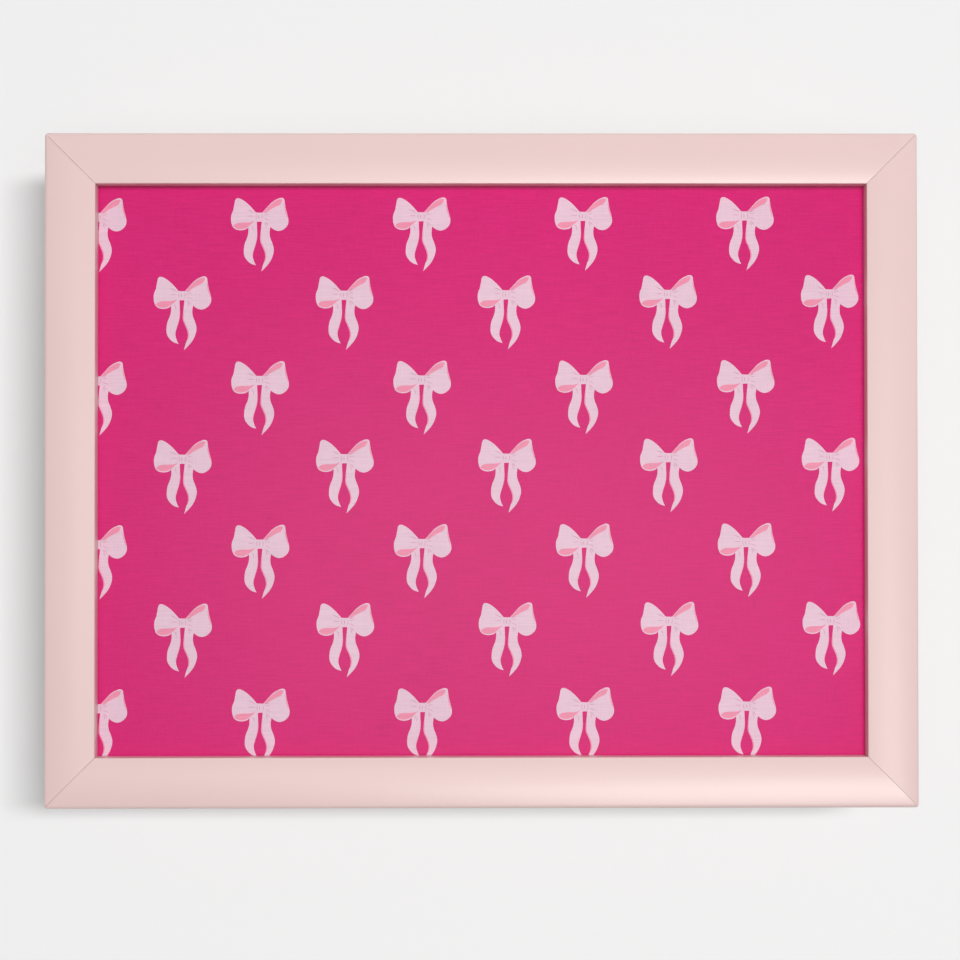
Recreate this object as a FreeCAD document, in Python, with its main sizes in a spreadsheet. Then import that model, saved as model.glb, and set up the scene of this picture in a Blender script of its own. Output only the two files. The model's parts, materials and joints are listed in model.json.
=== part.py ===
# Lap tray with a bead-filled cushion.
# A mitred frame of crowned moulding holds a printed board. A boxed cushion with a zip in its back wall
# is held under the board by hook-and-loop strips, and the tray lifts off it.
# Frame: millimetres, +Z up, +X to the user's right, -Y towards the user, origin under the cushion's middle.
import FreeCAD
import Part
import Sketcher
import math
import os

# Driving sizes: name, value in millimetres (degrees for an angle, a plain number for a count), meaning
SIZES = [
    ("tray_length", "440", "outer length of the frame, left to right"),
    ("tray_width", "340", "outer width of the frame, front to back"),
    ("rail_width", "25.5", "width of the moulding seen from above"),
    ("rail_height", "20", "height of the moulding at its crest"),
    ("crown_radius", "46", "radius of the moulding's crowned top"),
    ("crest_inset", "12", "outer face to the crest of the moulding"),
    ("edge_round", "2", "rounding between the crowned top and the outer face"),
    ("corner_round", "2.5", "rounding of the frame's corners seen from above"),
    ("lip_depth", "8.5", "how far the moulding's lip reaches over the board"),
    ("lip_wall", "7.6", "height of the lip's inner wall above the print"),
    ("mitre_gap", "0.2", "glue line in each mitre"),
    ("board_thickness", "4", "fibreboard"),
    ("print_thickness", "0.3", "printed and sealed sheet on the board"),
    ("backing_thickness", "0.2", "plain paper under the board"),
    ("board_clearance", "0.5", "board's edge to the rebate wall"),
    ("vnail_leg", "6", "length of each leg of a V nail"),
    ("vnail_gauge", "0.5", "steel thickness of a V nail"),
    ("vnail_depth", "9", "how deep a V nail is driven"),
    ("vnail_inset", "6", "outer face to the first V nail's corner"),
    ("vnail_pitch", "5", "inset from one V nail to the next"),
    ("vnail_count", "2", "V nails in each mitre"),
    ("point_length", "14", "length of a glazing point"),
    ("point_grip", "7", "length of a point inside the rail"),
    ("point_width", "6", "width of a point along the rail"),
    ("point_gauge", "0.5", "steel thickness of a point"),
    ("point_end_inset", "55", "end of a rail to its first point"),
    ("points_long", "4", "points in each long rail"),
    ("points_short", "3", "points in each short rail"),
    ("driven_clearance", "0.02", "room round a driven nail or point"),
    ("strip_width", "20", "width of the hook and loop strips"),
    ("strip_long", "240", "length of the front and back strips"),
    ("strip_short", "120", "length of the side strips"),
    ("strip_margin", "6", "strip to the edge of the cushion's flat top"),
    ("hook_thickness", "1.2", "hook strip"),
    ("loop_thickness", "1.2", "loop strip"),
    ("cushion_height", "53.5", "cushion, floor to its flat top"),
    ("cushion_clearance", "1", "cushion's corners to the rebate walls"),
    ("crown_height", "13.5", "height of the crowned top and base panels"),
    ("crown_width", "26", "how far those panels round inwards"),
    ("corner_radius", "38", "cushion's corners seen from above"),
    ("flare_radius", "150", "curve by which the sides flare to the corners"),
    ("flare_angle", "12", "turn of that curve, in degrees"),
    ("cover_thickness", "0.8", "cushion fabric"),
    ("liner_thickness", "0.4", "inner bag"),
    ("liner_clearance", "0.4", "inner bag to the zip slider behind the wall"),
    ("rest_gap", "0.3", "cover to inner bag, and inner bag to beads"),
    ("bead_layer", "1.3", "layer of beads that carries the filling's weight"),
    ("zip_end_inset", "14", "teeth to the end of the straight back wall"),
    ("strip_end_lap", "6", "zip opening to the end of the straight back wall"),
    ("mouth_clearance", "1.5", "slider to the folded edges beside the teeth"),
    ("tape_thickness", "0.6", "zip tape"),
    ("tape_margin", "1.2", "edge of the tape to the seam above or below it"),
    ("tape_edge", "1.6", "middle of the zip to the edge of each tape"),
    ("tooth_root", "0.9", "middle of the zip to the root of the teeth"),
    ("tooth_reach", "0.7", "how far a tooth reaches past the middle"),
    ("tooth_pitch", "2.5", "tooth to tooth on one tape"),
    ("tooth_gap", "0.1", "play between meshed teeth"),
    ("tooth_thickness", "1.8", "teeth through the tape"),
    ("slider_length", "10", "zip slider, along the zip"),
    ("slider_width", "8", "zip slider, across the zip"),
    ("slider_plate", "1", "thickness of the slider's two plates"),
    ("slider_flange", "0.8", "thickness of the slider's side flanges"),
    ("slider_post", "1.2", "post between the plates"),
    ("slider_clearance", "0.2", "running room of the slider"),
    ("stop_length", "2.5", "end stops along the zip"),
    ("stop_wall", "0.5", "end stop's wall over the tape"),
    ("stop_reach", "2", "how far an end stop grips the tape"),
    ("pin_radius", "0.6", "pin that carries the zip pull"),
    ("pin_clearance", "0.05", "running fit of the pull on its pin"),
    ("knuckle_wall", "0.5", "pull's material round the pin"),
    ("knuckle_length", "3", "length of the pull's knuckle"),
    ("lug_thickness", "0.8", "lugs that hold the pin"),
    ("lug_wall", "0.6", "lug material round the pin"),
    ("pull_clearance", "0.15", "pull to the slider"),
    ("pull_length", "20", "pin to the end of the pull"),
    ("pull_neck", "4", "pin to the wide part of the pull"),
    ("pull_width", "5", "wide part of the pull"),
    ("pull_thickness", "0.8", "pull"),
    ("pull_hole", "1.4", "radius of the hole in the pull"),
    ("cut_overrun", "5", "how far a cutting shape runs past the solid"),
]

# Places worked out from the sizes
PLACES = [
    ("half_length", "Sizes.tray_length / 2"),
    ("half_width", "Sizes.tray_width / 2"),
    ("foot_width", "Sizes.rail_width - Sizes.lip_depth"),
    ("rebate_half_x", "half_length - foot_width"),
    ("rebate_half_y", "half_width - foot_width"),
    ("board_half_x", "rebate_half_x - Sizes.board_clearance"),
    ("board_half_y", "rebate_half_y - Sizes.board_clearance"),
    ("flare_sum", "Sizes.corner_radius + Sizes.flare_radius"),
    ("flare_out", "flare_sum * (1 - cos(Sizes.flare_angle))"),
    ("cushion_half_x", "rebate_half_x - Sizes.cushion_clearance - flare_out"),
    ("cushion_half_y", "rebate_half_y - Sizes.cushion_clearance - flare_out"),
    ("flat_half_x", "cushion_half_x - Sizes.crown_width"),
    ("flat_half_y", "cushion_half_y - Sizes.crown_width"),
    ("gusset_low", "Sizes.crown_height"),
    ("gusset_high", "Sizes.cushion_height - Sizes.crown_height"),
    ("loop_high", "Sizes.cushion_height + Sizes.loop_thickness"),
    ("backing_low", "loop_high + Sizes.hook_thickness"),
    ("board_low", "backing_low + Sizes.backing_thickness"),
    ("print_low", "board_low + Sizes.board_thickness"),
    ("shoulder_level", "print_low + Sizes.print_thickness"),
    ("lip_run", "Sizes.rail_width - Sizes.crest_inset"),
    ("lip_rise", "Sizes.rail_height - Sizes.crown_radius + sqrt(Sizes.crown_radius ^ 2 - lip_run ^ 2)"),
    ("shoulder_rise", "lip_rise - Sizes.lip_wall"),
    ("point_rise", "shoulder_rise - (shoulder_level - backing_low)"),
    ("rail_low", "shoulder_level - shoulder_rise"),
    ("zip_level", "Sizes.cushion_height / 2"),
    ("corner_mid_x", "cushion_half_x + flare_out - Sizes.corner_radius"),
    ("straight_half", "corner_mid_x - flare_sum * sin(Sizes.flare_angle)"),
    ("zip_half", "straight_half - Sizes.zip_end_inset"),
    ("opening_half", "straight_half - Sizes.strip_end_lap"),
    ("mouth_half", "Sizes.slider_width / 2 + Sizes.mouth_clearance"),
    ("wall_inside", "cushion_half_y - Sizes.cover_thickness"),
    ("tape_mid", "wall_inside - Sizes.tape_thickness / 2"),
    ("tape_reach", "gusset_high - zip_level - Sizes.tape_margin"),
    ("slot_half", "Sizes.tape_thickness / 2 + Sizes.slider_clearance"),
    ("channel_half", "Sizes.tooth_thickness / 2 + Sizes.slider_clearance"),
    ("slider_half", "channel_half + Sizes.slider_plate"),
    ("slider_right", "zip_half + Sizes.slider_clearance + Sizes.slider_post"),
    ("slider_left", "slider_right - Sizes.slider_length"),
    ("slider_face", "tape_mid + slider_half"),
    ("liner_inset", "cushion_half_y - tape_mid + slider_half + Sizes.liner_clearance"),
    ("knuckle_radius", "Sizes.pin_radius + Sizes.pin_clearance + Sizes.knuckle_wall"),
    ("pin_x", "slider_right - Sizes.slider_length / 2"),
    ("pin_y", "slider_face + Sizes.pull_clearance + knuckle_radius"),
    ("lug_inside", "Sizes.knuckle_length / 2 + Sizes.pull_clearance"),
    ("lug_outside", "lug_inside + Sizes.lug_thickness"),
    ("lug_half", "Sizes.pin_radius + Sizes.lug_wall"),
]

# Sections of a crowned panel, as shares of the quarter turn from its seam to its flat middle
CROWN_TURN_SHARES = (0, 0.2, 0.4, 0.6, 0.8, 1)

X_WAY = FreeCAD.Vector(1, 0, 0)
Z_WAY = FreeCAD.Vector(0, 0, 1)

doc = FreeCAD.newDocument("lap_tray")
pieces = []


# Sheets

def write_sheet(name, rows):
    """A sheet with one named cell a row: what it is, its value or formula, its alias."""
    sheet = doc.addObject("Spreadsheet::Sheet", name)
    for number, (alias, content, *meaning) in enumerate(rows, start=1):
        sheet.set(f"A{number}", " ".join([alias, *meaning]))
        sheet.set(f"B{number}", content)
        sheet.setAlias(f"B{number}", alias)
    return sheet


size = write_sheet("Sizes", SIZES)
place = write_sheet("Places", [(alias, "=" + formula) for alias, formula in PLACES])
doc.recompute()


# Building blocks

def keep(thing, label):
    """The finished sub-part, under the name of its node."""
    thing.Label = label
    pieces.append(thing)
    return thing


def box(name, x, y, z):
    """A block between a low and a high expression on each axis."""
    block = doc.addObject("Part::Box", name)
    for extent, axis, (low, high) in (("Length", "x", x), ("Width", "y", y), ("Height", "z", z)):
        block.setExpression(extent, f"({high}) - ({low})")
        block.setExpression(f"Placement.Base.{axis}", low)
    return block


def cylinder(name, radius, height, base, turn=None):
    """A cylinder along Z, or turned, from the expressions of its radius, height and base point."""
    rod = doc.addObject("Part::Cylinder", name)
    rod.setExpression("Radius", radius)
    rod.setExpression("Height", height)
    if turn:
        rod.Placement = FreeCAD.Placement(FreeCAD.Vector(), turn)
    for axis, text in zip("xyz", base):
        rod.setExpression(f"Placement.Base.{axis}", text)
    return rod


def fuse(name, *shapes):
    joined = doc.addObject("Part::MultiFuse", name)
    joined.Shapes = list(shapes)
    joined.Refine = True
    return joined


def cut(name, base, tool):
    left = doc.addObject("Part::Cut", name)
    left.Base = base
    left.Tool = tool
    return left


def group(name, things):
    together = doc.addObject("Part::Compound", name)
    together.Links = list(things)
    return together


def both_ways(text):
    """Low and high expressions of a span centred on zero."""
    return f"-({text})", text


def beside(side, middle, near, far):
    """Low and high expressions of a span on one side of a middle, between two distances from it."""
    if side > 0:
        return f"{middle} + {near}", f"{middle} + {far}"
    return f"{middle} - ({far})", f"{middle} - ({near})"


def feature(label, shape):
    """A sub-part whose shape is set directly."""
    thing = doc.addObject("Part::Feature", label)
    thing.Shape = shape
    return keep(thing, label)


# Sketch helpers

def new_sketch(body, name, role):
    """An empty sketch on one of the body's own origin planes."""
    sketch = body.newObject("Sketcher::SketchObject", name)
    plane = next(p for p in body.Origin.OriginFeatures if p.Role == role)
    sketch.AttachmentSupport = [(plane, "")]
    sketch.MapMode = "FlatFace"
    return sketch


def measure(sketch, kind, *where, text):
    """A dimension that follows an expression."""
    index = sketch.addConstraint(Sketcher.Constraint(kind, *where, sketch.evalExpression(text)))
    sketch.setExpression(f"Constraints[{index}]", text)


def tie(sketch, kind, *where):
    sketch.addConstraint(Sketcher.Constraint(kind, *where))


def line(sketch, start, end):
    return sketch.addGeometry(Part.LineSegment(FreeCAD.Vector(*start), FreeCAD.Vector(*end)), False)


def arc(sketch, middle, radius, start, end):
    """An arc from one angle to another, in radians, anticlockwise."""
    circle = Part.Circle(FreeCAD.Vector(*middle), Z_WAY, radius)
    return sketch.addGeometry(Part.ArcOfCircle(circle, start, end), False)


def rectangle(sketch, x, y):
    """A rectangle between a low and a high expression on each sketch axis."""
    low_x, high_x = (sketch.evalExpression(text) for text in x)
    low_y, high_y = (sketch.evalExpression(text) for text in y)
    corners = [(low_x, low_y), (high_x, low_y), (high_x, high_y), (low_x, high_y)]
    sides = [line(sketch, corners[i - 1], corners[i]) for i in (1, 2, 3, 0)]
    for first, second in zip(sides, sides[1:] + sides[:1]):
        tie(sketch, "Coincident", first, 2, second, 1)
    for bottom_or_top in (sides[0], sides[2]):
        tie(sketch, "Horizontal", bottom_or_top)
    for upright in (sides[1], sides[3]):
        tie(sketch, "Vertical", upright)
    measure(sketch, "DistanceX", -1, 1, sides[0], 1, text=x[0])
    measure(sketch, "DistanceX", sides[0], 1, sides[0], 2, text=f"({x[1]}) - ({x[0]})")
    measure(sketch, "DistanceY", -1, 1, sides[0], 1, text=y[0])
    measure(sketch, "DistanceY", sides[1], 1, sides[1], 2, text=f"({y[1]}) - ({y[0]})")


def pocket(body, name, sketch, depth=None, upwards=True):
    """A pocket through everything, or of a given depth, on the far side of the sketch when upwards."""
    hollow = body.newObject("PartDesign::Pocket", name)
    hollow.Profile = sketch
    hollow.Reversed = upwards
    if depth:
        hollow.Type = "Length"
        hollow.setExpression("Length", depth)
    else:
        hollow.Type = "ThroughAll"
    return hollow


# Frame rails, each along its own X with the outer face at y = 0 and the underside at z = 0

def rail_section(body):
    """The moulding's section: foot, rebate, lip, crowned top and rounded outer edge."""
    sketch = new_sketch(body, "section", "YZ_Plane")
    foot = place.foot_width
    width = size.rail_width
    shoulder = place.shoulder_rise
    lip = place.lip_rise
    crown_mid = (size.crest_inset, size.rail_height - size.crown_radius)
    to_edge = size.crown_radius - size.edge_round
    edge_run = size.edge_round - size.crest_inset
    edge_mid = (size.edge_round, crown_mid[1] + math.sqrt(to_edge ** 2 - edge_run ** 2))
    lip_angle = math.atan2(lip - crown_mid[1], place.lip_run)
    edge_angle = math.atan2(edge_mid[1] - crown_mid[1], edge_run)
    sole = line(sketch, (0, 0), (foot, 0))
    rebate = line(sketch, (foot, 0), (foot, shoulder))
    ledge = line(sketch, (foot, shoulder), (width, shoulder))
    wall = line(sketch, (width, shoulder), (width, lip))
    crown = arc(sketch, crown_mid, size.crown_radius, lip_angle, edge_angle)
    edge = arc(sketch, edge_mid, size.edge_round, edge_angle, math.pi)
    outside = line(sketch, (0, edge_mid[1]), (0, 0))
    outline = [sole, rebate, ledge, wall, crown]
    for first, second in zip(outline, outline[1:]):
        tie(sketch, "Coincident", first, 2, second, 1)
    tie(sketch, "Tangent", crown, 2, edge, 1)
    tie(sketch, "Tangent", edge, 2, outside, 1)
    tie(sketch, "Coincident", outside, 2, sole, 1)
    tie(sketch, "Coincident", sole, 1, -1, 1)
    for level in (sole, ledge):
        tie(sketch, "Horizontal", level)
    for upright in (rebate, wall, outside):
        tie(sketch, "Vertical", upright)
    measure(sketch, "DistanceX", -1, 1, sole, 2, text="Places.foot_width")
    measure(sketch, "DistanceX", -1, 1, wall, 1, text="Sizes.rail_width")
    measure(sketch, "DistanceY", -1, 1, rebate, 2, text="Places.shoulder_rise")
    measure(sketch, "DistanceY", -1, 1, wall, 2, text="Places.lip_rise")
    measure(sketch, "DistanceX", -1, 1, crown, 3, text="Sizes.crest_inset")
    measure(sketch, "Radius", crown, text="Sizes.crown_radius")
    measure(sketch, "Radius", edge, text="Sizes.edge_round")
    return sketch


def rail_plan(body, length):
    """What is cut away from the full-length moulding: all that lies outside the mitred plan of the rail."""
    sketch = new_sketch(body, "plan", "XY_Plane")
    overrun = size.cut_overrun
    half = sketch.evalExpression(length) / 2
    inside = size.rail_width + overrun
    inside_half = half - inside - size.mitre_gap / math.sqrt(2)
    corner = size.corner_round
    tip = corner * (1 - math.sqrt(0.5))
    outer = [
        line(sketch, (-half - overrun, -overrun), (half + overrun, -overrun)),
        line(sketch, (half + overrun, -overrun), (half + overrun, inside + overrun)),
        line(sketch, (half + overrun, inside + overrun), (-half - overrun, inside + overrun)),
        line(sketch, (-half - overrun, inside + overrun), (-half - overrun, -overrun)),
    ]
    face = line(sketch, (corner - half, 0), (half - corner, 0))
    right_corner = arc(sketch, (half - corner, corner), corner, -math.pi / 2, -math.pi / 4)
    right_mitre = line(sketch, (half - tip, tip), (inside_half, inside))
    back = line(sketch, (inside_half, inside), (-inside_half, inside))
    left_mitre = line(sketch, (-inside_half, inside), (tip - half, tip))
    left_corner = arc(sketch, (corner - half, corner), corner, -3 * math.pi / 4, -math.pi / 2)
    for first, second in zip(outer, outer[1:] + outer[:1]):
        tie(sketch, "Coincident", first, 2, second, 1)
    tie(sketch, "Horizontal", outer[2])
    for upright in (outer[1], outer[3]):
        tie(sketch, "Vertical", upright)
    tie(sketch, "Symmetric", outer[0], 1, outer[0], 2, -2)
    measure(sketch, "DistanceX", outer[0], 1, outer[0], 2, text=f"{length} + 2 * Sizes.cut_overrun")
    measure(sketch, "DistanceY", outer[0], 1, -1, 1, text="Sizes.cut_overrun")
    measure(sketch, "DistanceY", -1, 1, outer[1], 2, text="Sizes.rail_width + 2 * Sizes.cut_overrun")
    tie(sketch, "Tangent", face, 2, right_corner, 1)
    tie(sketch, "Coincident", right_corner, 2, right_mitre, 1)
    tie(sketch, "Coincident", right_mitre, 2, back, 1)
    tie(sketch, "Coincident", back, 2, left_mitre, 1)
    tie(sketch, "Coincident", left_mitre, 2, left_corner, 1)
    tie(sketch, "Tangent", left_corner, 2, face, 1)
    tie(sketch, "PointOnObject", face, 1, -1)
    tie(sketch, "Symmetric", face, 1, face, 2, -2)
    tie(sketch, "Symmetric", back, 1, back, 2, -2)
    tie(sketch, "Equal", right_corner, left_corner)
    tie(sketch, "Perpendicular", right_mitre, left_mitre)
    tie(sketch, "Horizontal", right_mitre, 1, left_mitre, 2)
    measure(sketch, "Radius", right_corner, text="Sizes.corner_round")
    measure(sketch, "DistanceX", face, 1, face, 2, text=f"{length} - 2 * Sizes.corner_round")
    measure(sketch, "DistanceY", -1, 1, back, 1, text="Sizes.rail_width + Sizes.cut_overrun")
    measure(sketch, "DistanceX", back, 2, back, 1,
            text=f"{length} - 2 * (Sizes.rail_width + Sizes.cut_overrun) - Sizes.mitre_gap * sqrt(2)")
    return sketch


def vnail_slots(body, length):
    """Slots for the V nails' legs, in the underside at both ends."""
    sketch = new_sketch(body, "nail_slots", "XY_Plane")
    room = "Sizes.driven_clearance"
    for number in range(int(size.vnail_count)):
        inset = f"(Sizes.vnail_inset + {number} * Sizes.vnail_pitch)"
        near = f"{length} / 2 - {inset} - Sizes.vnail_leg - {room}"
        far = f"{length} / 2 - {inset} + {room}"
        across = (f"{inset} - {room}", f"{inset} + Sizes.vnail_gauge + {room}")
        rectangle(sketch, (near, far), across)
        rectangle(sketch, (f"-({far})", f"-({near})"), across)
    return sketch


def point_slot(body, length):
    """Slot for the first glazing point, in the rebate wall."""
    sketch = new_sketch(body, "point_slot", "XZ_Plane")
    sketch.setExpression("AttachmentOffset.Base.z", "-Places.foot_width")
    room = "Sizes.driven_clearance"
    middle = f"Sizes.point_end_inset - {length} / 2"
    span = f"Sizes.point_width / 2 + {room}"
    rectangle(
        sketch,
        (f"{middle} - ({span})", f"{middle} + {span}"),
        (f"Places.point_rise - Sizes.point_gauge - {room}", f"Places.point_rise + {room}"),
    )
    return sketch


def rail(label, length, points, turn, base):
    """One mitred rail, slotted for its nails and points, turned and set in its place."""
    body = doc.addObject("PartDesign::Body", label)
    moulding = body.newObject("PartDesign::Pad", "moulding")
    moulding.Profile = rail_section(body)
    moulding.SideType = "Symmetric"
    moulding.setExpression("Length", length)
    doc.recompute()
    pocket(body, "mitres", rail_plan(body, length))
    doc.recompute()
    pocket(body, "nail_pockets", vnail_slots(body, length), "Sizes.vnail_depth + Sizes.driven_clearance")
    doc.recompute()
    first_slot = point_slot(body, length)
    grip = pocket(body, "point_pocket", first_slot, "Sizes.point_grip + Sizes.driven_clearance")
    row = body.newObject("PartDesign::LinearPattern", "point_row")
    row.Originals = [grip]
    row.Direction = (first_slot, ["H_Axis"])
    row.setExpression("Length", f"{length} - 2 * Sizes.point_end_inset")
    row.setExpression("Occurrences", points)
    body.Tip = row
    body.Placement = FreeCAD.Placement(FreeCAD.Vector(), FreeCAD.Rotation(Z_WAY, turn))
    body.setExpression("Placement.Base.x", base[0])
    body.setExpression("Placement.Base.y", base[1])
    body.setExpression("Placement.Base.z", "Places.rail_low")
    return keep(body, label)


def make_frame():
    long_rail = ("Sizes.tray_length", "Sizes.points_long")
    short_rail = ("Sizes.tray_width", "Sizes.points_short")
    rail("frame_rail_front", *long_rail, 0, ("0", "-Places.half_width"))
    rail("frame_rail_back", *long_rail, 180, ("0", "Places.half_width"))
    rail("frame_rail_left", *short_rail, -90, ("-Places.half_length", "0"))
    rail("frame_rail_right", *short_rail, 90, ("Places.half_length", "0"))


# Fixings of the frame

def inwards(side, outer, inset, depth):
    """Span on one axis that starts inset from the outer face on the given side and runs inwards."""
    near = f"{outer} - ({inset})"
    far = f"{outer} - ({inset}) - ({depth})"
    return (far, near) if side > 0 else (f"-({near})", f"-({far})")


def make_vnails():
    """Bent steel nails driven up across each mitre from the frame's underside."""
    nails = []
    height = ("Places.rail_low", "Places.rail_low + Sizes.vnail_depth")
    for side_x in (-1, 1):
        for side_y in (-1, 1):
            for number in range(int(size.vnail_count)):
                inset = f"Sizes.vnail_inset + {number} * Sizes.vnail_pitch"
                long_x = inwards(side_x, "Places.half_length", inset, "Sizes.vnail_leg")
                long_y = inwards(side_y, "Places.half_width", inset, "Sizes.vnail_leg")
                thin_x = inwards(side_x, "Places.half_length", inset, "Sizes.vnail_gauge")
                thin_y = inwards(side_y, "Places.half_width", inset, "Sizes.vnail_gauge")
                leg_x = box("nail_leg_x", long_x, thin_y, height)
                leg_y = box("nail_leg_y", thin_x, long_y, height)
                nails.append(fuse("nail", leg_x, leg_y))
    keep(group("nails", nails), "mitre_v_nails")


def row_places(length, count):
    """Expressions of the evenly spaced places of a rail's points along it."""
    step = f"({length} - 2 * Sizes.point_end_inset) / {count - 1}"
    return [f"Sizes.point_end_inset - {length} / 2 + {number} * {step}" for number in range(count)]


def make_points():
    """Flat steel points driven into the rebate walls, which hold the board up against the lip."""
    points = []
    height = ("Places.backing_low - Sizes.point_gauge", "Places.backing_low")
    inset = "Places.foot_width - Sizes.point_grip"
    for side in (-1, 1):
        across = inwards(side, "Places.half_width", inset, "Sizes.point_length")
        for middle in row_places("Sizes.tray_length", int(size.points_long)):
            along = (f"{middle} - Sizes.point_width / 2", f"{middle} + Sizes.point_width / 2")
            points.append(box("long_point", along, across, height))
        across = inwards(side, "Places.half_length", inset, "Sizes.point_length")
        for middle in row_places("Sizes.tray_width", int(size.points_short)):
            along = (f"{middle} - Sizes.point_width / 2", f"{middle} + Sizes.point_width / 2")
            points.append(box("short_point", across, along, height))
    keep(group("points", points), "board_points")


# Board in the frame

def make_board():
    """Printed sheet, fibreboard and backing paper, one on the other in the rebate."""
    along, across = both_ways("Places.board_half_x"), both_ways("Places.board_half_y")
    keep(box("printed", along, across, ("Places.print_low", "Places.shoulder_level")), "print_sheet")
    keep(box("fibreboard", along, across, ("Places.board_low", "Places.print_low")), "tray_board")
    keep(box("paper", along, across, ("Places.backing_low", "Places.board_low")), "backing_paper")


def make_strips():
    """Hook strips stuck under the board, and the loop strips sewn to the cushion that they hold."""
    layers = (("hook_strip", "Places.loop_high", "Places.backing_low"),
              ("loop_strip", "Sizes.cushion_height", "Places.loop_high"))
    for kind, low, high in layers:
        for side, end in ((-1, "front"), (1, "back")):
            across = inwards(side, "Places.flat_half_y", "Sizes.strip_margin", "Sizes.strip_width")
            strip = box(kind, both_ways("Sizes.strip_long / 2"), across, (low, high))
            keep(strip, f"{kind}_{end}")
        for side, end in ((-1, "left"), (1, "right")):
            across = inwards(side, "Places.flat_half_x", "Sizes.strip_margin", "Sizes.strip_width")
            strip = box(kind, across, both_ways("Sizes.strip_short / 2"), (low, high))
            keep(strip, f"{kind}_{end}")


# Cushion

def cushion_outline(inset, level):
    """The cushion's plan, set in all round, at a height: straight sides that flare out to round corners."""
    turn = math.radians(size.flare_angle)
    corner = size.corner_radius - inset
    flare = size.flare_radius + inset
    mid_x = place.corner_mid_x
    mid_y = place.corner_mid_x + place.cushion_half_y - place.cushion_half_x
    side_x = place.cushion_half_x - inset
    side_y = place.cushion_half_y - inset
    run_x = place.straight_half
    run_y = run_x + place.cushion_half_y - place.cushion_half_x

    def along(middle, radius, angle):
        return (middle[0] + radius * math.cos(angle), middle[1] + radius * math.sin(angle))

    quarter = math.pi / 2
    low_flare, high_flare = (side_x + flare, run_y), (run_x, side_y + flare)
    mid = (mid_x, mid_y)
    corner_arcs = [
        (low_flare, flare, 2 * quarter, 2 * quarter - turn),
        (mid, corner, -turn, quarter + turn),
        (high_flare, flare, -quarter + turn, -quarter),
    ]
    edges = []
    last = FreeCAD.Vector(side_x, -run_y, level)
    for sign_x, sign_y in ((1, 1), (-1, 1), (-1, -1), (1, -1)):
        arcs = corner_arcs if sign_x * sign_y > 0 else [(m, r, b, a) for m, r, a, b in reversed(corner_arcs)]
        for number, (middle, radius, start, end) in enumerate(arcs):
            spots = [along(middle, radius, angle) for angle in (start, (start + end) / 2, end)]
            first, between, final = (FreeCAD.Vector(sign_x * x, sign_y * y, level) for x, y in spots)
            if number == 0:
                edges.append(Part.LineSegment(last, first).toShape())
            edges.append(Part.Arc(first, between, final).toShape())
            last = final
    return Part.Wire(edges)


def crowned_block(inset, low, high, sense):
    """Solid crowned panel, set in by inset, from its seam level to its flat level; sense is 1 upwards."""
    reach = size.crown_width
    rise = high - low
    sections = []
    for share in CROWN_TURN_SHARES:
        turn = share * math.pi / 2
        level = low + rise * math.sin(turn) if sense > 0 else high - rise * math.sin(turn)
        sections.append(cushion_outline(inset + reach * (1 - math.cos(turn)), level))
    return Part.makeLoft(sections, True)


def wall_block(inset, low, high):
    """Solid between two levels with the cushion's plan."""
    face = Part.Face(cushion_outline(inset, low))
    return face.extrude(Z_WAY * (high - low))


def stuffed_block(inset, gap):
    """Whole cushion shape, set in by inset at the sides and by gap at the flat top and base."""
    low, high = place.gusset_low, place.gusset_high
    base = crowned_block(inset, gap, low, -1)
    middle = wall_block(inset, low, high)
    top = crowned_block(inset, high, size.cushion_height - gap, 1)
    return base.fuse([middle, top]).removeSplitter()


def make_cover():
    """Top and base panels, the wall between them and the strips beside the zip."""
    wall = size.cover_thickness
    low, high = place.gusset_low, place.gusset_high
    top = size.cushion_height
    feature("cover_top_panel", crowned_block(0, high, top, 1).cut(crowned_block(wall, high, top - wall, 1)))
    feature("cover_base_panel", crowned_block(0, 0, low, -1).cut(crowned_block(wall, wall, low, -1)))
    band = wall_block(0, low, high).cut(wall_block(wall, low, high))
    opening = Part.makeBox(
        2 * place.opening_half, wall + size.cut_overrun, high - low,
        FreeCAD.Vector(-place.opening_half, place.wall_inside - size.cut_overrun / 2, low),
    )
    feature("cover_wall", band.cut(opening))
    along = both_ways("Places.opening_half")
    through = ("Places.wall_inside", "Places.cushion_half_y")
    upper = ("Places.zip_level + Places.mouth_half", "Places.gusset_high")
    lower = ("Places.gusset_low", "Places.zip_level - Places.mouth_half")
    keep(box("facing", along, through, upper), "zip_facing_upper")
    keep(box("facing", along, through, lower), "zip_facing_lower")


def stuffed_shell(depth, wall):
    """Closed skin of the whole cushion shape, a given depth inside the inner bag's outer face."""
    inset = place.liner_inset + depth
    gap = size.cover_thickness + size.rest_gap + depth
    return stuffed_block(inset, gap).cut(stuffed_block(inset + wall, gap + wall))


def make_filling():
    """Loose inner bag, and the outermost layer of the beads that fill it."""
    feature("bead_liner", stuffed_shell(0, size.liner_thickness))
    feature("bead_fill", stuffed_shell(size.liner_thickness + size.rest_gap, size.bead_layer))


# Zip in the back wall

def make_tapes():
    along = both_ways("Places.straight_half")
    through = ("Places.wall_inside - Sizes.tape_thickness", "Places.wall_inside")
    for side, name in ((1, "upper"), (-1, "lower")):
        level = beside(side, "Places.zip_level", "Sizes.tape_edge", "Places.tape_reach")
        keep(box("tape", along, through, level), f"zip_tape_{name}")


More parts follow.
